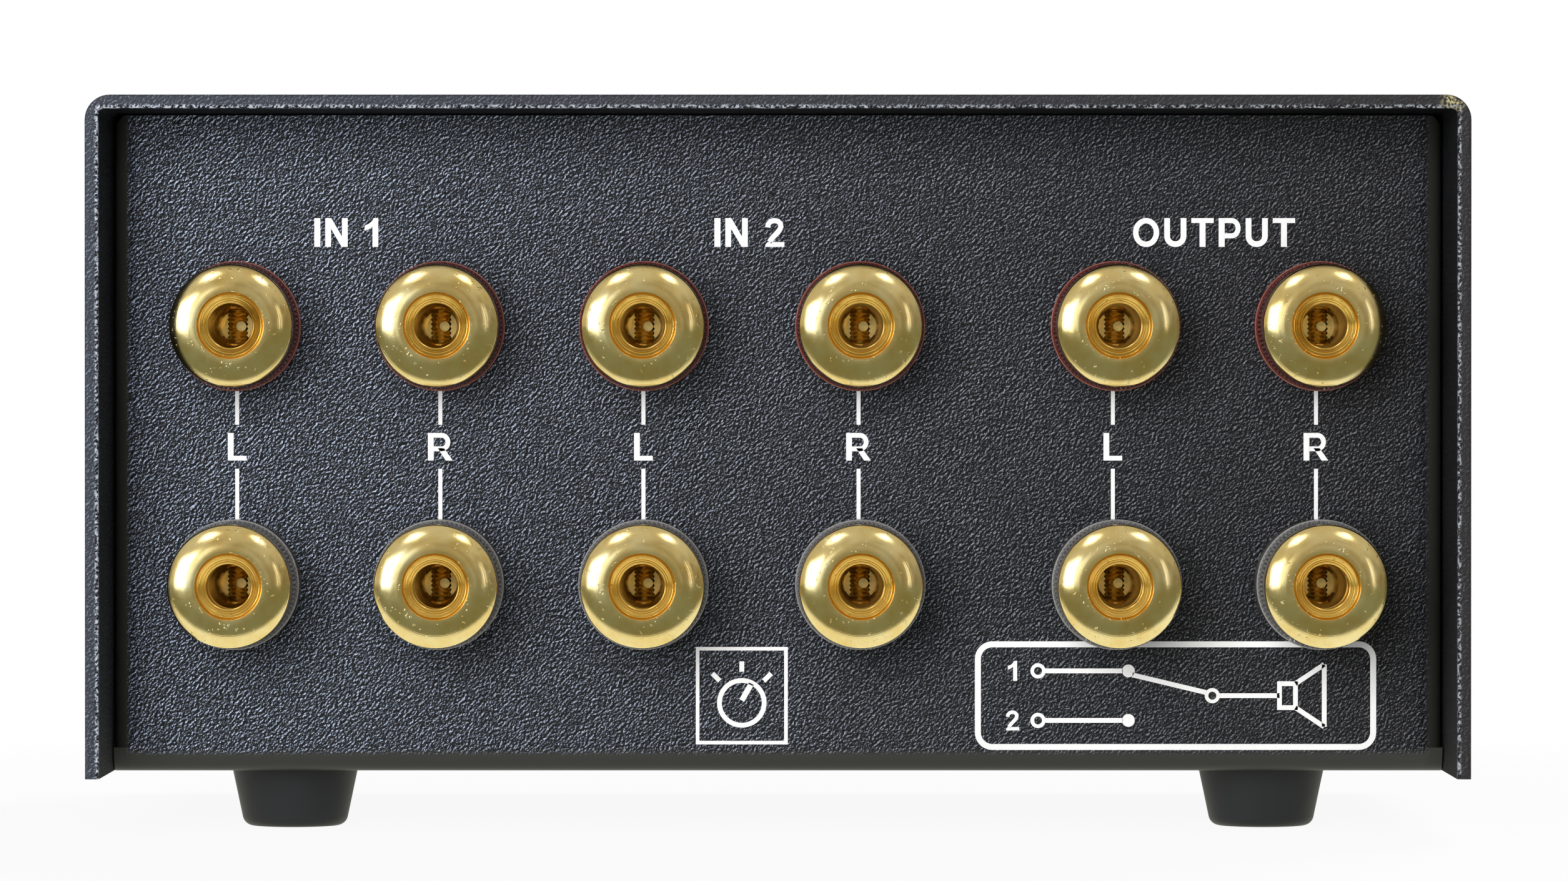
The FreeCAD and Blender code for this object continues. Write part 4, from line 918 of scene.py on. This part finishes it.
# Two inputs, each a terminal, a lead and a contact, and the arm between them with its loudspeaker
switchDrawing = {
    "place": (49.7, 17.0), "frame": (50.2, 13.6, 2.2), "frameLine": 0.75, "line": 0.6,
    "inputs": (("1", 3.1), ("2", -3.1)), "numberX": -20.4, "numberHeight": 2.5, "terminalX": -17.2,
    "terminal": (0.95, 0.45), "lead": (-16.3, -6.6), "contactX": -5.9, "contact": (0.8, 0.8),
    "pivotX": 4.6, "arm": ((3.8, 0.4), (-5.4, 2.6)), "wire": ((5.5, 0), (13.0, 0)),
    "horn": ((15.0, 1.5), (18.6, 3.9), (18.6, -3.9), (15.0, -1.5)), "coil": (14.0, 0, 2.6, 3.6, 0.1)}


def makeSwitchDrawing():
    size = switchDrawing
    line = size["line"]
    bands = [frameBand(0, 0, *size["frame"], size["frameLine"])]
    for text, up in size["inputs"]:
        bands += [ringBand(size["terminalX"], up, *size["terminal"]),
                  ribbonBand([(x, up) for x in size["lead"]], line),
                  ringBand(size["contactX"], up, *size["contact"])]
    bands += [ringBand(size["pivotX"], 0, *size["terminal"]), ribbonBand(size["arm"], line),
              ribbonBand(size["wire"], line)]
    bands += [ribbonBand(ends, line) for ends in zip(size["horn"], size["horn"][1:])]
    bands.append(frameBand(*size["coil"], line))
    for text, up in size["inputs"]:
        bands += wordBands(text, size["numberHeight"], size["numberX"], up)
    addPrint("print_switch_drawing", bands, "rear", *size["place"])


dialDrawing = {
    "place": (-4.55, 17.0), "frame": (11.5, 12.2, 0.05), "frameLine": 0.45, "z": -0.9, "ring": (3.1, 0.6),
    "hand": ((0, -0.6), (1.2, 1.5)), "handLine": 0.7, "ticks": (-45, 0, 45), "tickEnds": (3.9, 5.2),
    "tickLine": 0.6}


def makeDialDrawing():
    size = dialDrawing
    bands = [frameBand(0, 0, *size["frame"], size["frameLine"]), ringBand(0, size["z"], *size["ring"]),
             ribbonBand(size["hand"], size["handLine"])]
    for angle in size["ticks"]:
        across, up = math.sin(math.radians(angle)), math.cos(math.radians(angle))
        ends = [(across * reach, up * reach + size["z"]) for reach in size["tickEnds"]]
        bands.append(ribbonBand(ends, size["tickLine"]))
    addPrint("print_dial_drawing", bands, "rear", *size["place"])


frontPrint = {
    "positions": (("2", -30), ("0", 0), ("1", 30)), "reach": 22.5, "tick": 2.4, "tickLine": 0.6,
    "numberReach": 28.5, "numberHeight": 3.8, "pointerLine": 1.2, "pointerEnds": (9.4, 17.0),
    "grooveDepth": 1.8}


def makeFrontPrint():                          # a positive angle lies to the left, seen from the front
    size = frontPrint
    low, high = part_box("selector_knob")
    z = (low.z + high.z) / 2 / mm
    bands = []
    for text, angle in size["positions"]:
        across, up = math.sin(math.radians(angle)), math.cos(math.radians(angle))
        ends = [(across * reach, up * reach) for reach in (size["reach"], size["reach"] + size["tick"])]
        bands.append(ribbonBand(ends, size["tickLine"]))
        bands += wordBands(text, size["numberHeight"], across * size["numberReach"], up * size["numberReach"])
    addPrint("print_positions", bands, "front", 0, z)
    ends = [(0, reach) for reach in size["pointerEnds"]]
    mesh = printMesh("pointer", [ribbonBand(ends, size["pointerLine"])])
    lie = Matrix.Translation((0, high.y - (size["grooveDepth"] - printSizes["thickness"]) * mm, z * mm))
    lie = lie @ Matrix.Rotation(math.pi, 4, "Z")
    addPiece("pointer_paint", mesh, paint, "selector", lie)


makeHeadings()
makeSwitchDrawing()
makeDialDrawing()
makeFrontPrint()
print("print laid on")


# Floor, room, lamps and camera

floorSizes = {
    "reach": 6.0, "pale": colour(0.80, 0.80, 0.79), "white": colour(1, 1, 1),
    "table": colour(0.97, 0.98, 0.84), "beyond": colour(0.22, 0.23, 0.15), "tableStep": (-0.095, 0.0006),
    "nearShare": 0.93, "farStep": (0.20, 0.06), "throughShare": 0.5}


def makeFloor():                               # white to the camera, and a table's edge in mirrored light
    size = floorSizes
    finish = Finish("paleFloor")
    side, along, rise = finish.split(finish.place())
    rays = finish.add("ShaderNodeLightPath", output=None)
    near = along.above(*size["tableStep"])
    far = finish.reach(side, along).above(*size["farStep"])
    seen = rays["Is Camera Ray"] * (size["nearShare"] + far * (1 - size["nearShare"]))
    seen = seen + rays["Is Transmission Ray"] * size["throughShare"]
    diffuse = finish.add("ShaderNodeBsdfDiffuse", None, {"Color": size["pale"]})
    white = finish.add("ShaderNodeEmission", None, {"Color": size["white"]})
    table = finish.between(near, size["beyond"], size["table"])
    table = finish.add("ShaderNodeEmission", None, {"Color": table})
    shown = finish.add("ShaderNodeMixShader", None, {0: seen, 1: diffuse, 2: white})
    both = finish.add("ShaderNodeMixShader", None, {0: rays["Is Glossy Ray"], 1: shown, 2: table})
    finish.finished(both)
    mesh = bpy.data.meshes.new("floorMesh")
    reach = size["reach"]
    corners = [(-reach, -reach, 0), (reach, -reach, 0), (reach, reach, 0), (-reach, reach, 0)]
    mesh.from_pydata(corners, [], [(0, 1, 2, 3)])
    mesh.materials.append(finish.material)
    floor = bpy.data.objects.new("floor", mesh)
    scene.collection.objects.link(floor)


roomSizes = {
    "white": colour(1, 1, 1), "fill": colour(0.10, 0.10, 0.11), "low": colour(0.24, 0.24, 0.25),
    "high": colour(0.40, 0.40, 0.41), "riseStep": (0.22, 0.30), "dim": colour(0.20, 0.18, 0.12),
    "lit": colour(0.56, 0.53, 0.42), "patches": (4.5, 3), "upward": 0.35, "sideways": 0.15,
    "litStep": (0.50, 0.22), "backStep": (0.15, 0.15)}


def makeRoom():                                # mirrored light has a patchy front and a plain back
    size = roomSizes
    scene.world = bpy.data.worlds.new("room")
    room = Finish("room", scene.world)
    rays = room.add("ShaderNodeLightPath", output=None)
    way = room.add("ShaderNodeTexCoord", output=0)
    side, along, rise = room.split(way)
    patches = room.noise(way, *size["patches"]) + rise * size["upward"] - side * size["sideways"]
    front = room.between(patches.above(*size["litStep"]), size["dim"], size["lit"])
    back = room.between(rise.above(*size["riseStep"]), size["low"], size["high"])
    mirrored = room.between(along.above(*size["backStep"]), front, back)
    lit = room.between(rays["Is Glossy Ray"], size["fill"], mirrored)
    clear = room.between(rays["Is Transmission Ray"], lit, mirrored)
    shown = room.between(rays["Is Camera Ray"], clear, size["white"])
    background = room.add("ShaderNodeBackground", None, {"Color": shown, "Strength": 1.0})
    room.finished(background, "ShaderNodeOutputWorld")


# A lamp stands off the rear's axis by its angle, at its clock angle seen from behind (0 right, 90 up)
lampAim = (0, -0.06, 0.05)
lampSizes = {
    "window": {"off": 44, "clock": 172, "away": 1.0, "wide": 0.56, "high": 0.55, "power": 3.8,
               "tint": (0.88, 0.94, 1.0), "soft": False, "shiny": True},
    "sheen": {"off": 20, "clock": 168, "away": 1.6, "wide": 0.50, "high": 0.60, "power": 1.0,
              "tint": (0.80, 0.90, 1.0), "soft": False, "shiny": True},
    "topLeft": {"off": 56, "clock": 118, "away": 2.0, "wide": 0.5, "high": 0.5, "power": 2.8,
                "tint": (1, 1, 1), "soft": True, "shiny": True},
    "topRight": {"off": 57, "clock": 63, "away": 2.0, "wide": 0.40, "high": 0.40, "power": 1.8,
                 "tint": (1, 1, 1), "soft": True, "shiny": True},
    "rightStrip": {"off": 38, "clock": 8, "away": 2.0, "wide": 0.06, "high": 0.9, "power": 0.8,
                   "tint": (1, 1, 1), "soft": False, "shiny": True},
    "key": {"off": 16, "clock": 140, "away": 0.7, "wide": 0.40, "high": 0.35, "power": 4.8,
            "tint": (1, 1, 1), "soft": True, "shiny": False},
    "frontSide": {"off": 140, "clock": 60, "away": 2.0, "wide": 1.2, "high": 0.9, "power": 40,
                  "tint": (1, 1, 1), "soft": True, "shiny": False}}


def makeLamps():
    for name, size in lampSizes.items():
        off, clock = math.radians(size["off"]), math.radians(size["clock"])
        way = Vector((math.sin(off) * math.cos(clock), -math.cos(off), math.sin(off) * math.sin(clock)))
        light = bpy.data.lights.new(name, "AREA")
        light.shape = "RECTANGLE"
        light.size = size["wide"]
        light.size_y = size["high"]
        light.energy = size["power"]
        light.color = size["tint"]
        lamp = bpy.data.objects.new(name, light)
        scene.collection.objects.link(lamp)
        facing = way.to_track_quat("Z", "Y").to_matrix().to_4x4()
        lamp.matrix_world = Matrix.Translation(Vector(lampAim) + way * size["away"]) @ facing
        lamp.visible_camera = False
        lamp.visible_diffuse = size["soft"]
        lamp.visible_glossy = size["shiny"]


cameraSizes = {"lens": 183.6, "sensor": 36, "place": (0.00073, -1.050, 0.0560), "tilt": 0.405}


def makeCamera():
    size = cameraSizes
    lens = bpy.data.cameras.new("camera")
    lens.lens = size["lens"]
    lens.sensor_width = size["sensor"]
    camera = bpy.data.objects.new("camera", lens)
    scene.collection.objects.link(camera)
    camera.location = size["place"]
    camera.rotation_euler = (math.radians(90 - size["tilt"]), 0, 0)
    scene.camera = camera


makeFloor()
makeRoom()
makeLamps()
makeCamera()
scene.view_settings.view_transform = "Standard"
print("studio set up")
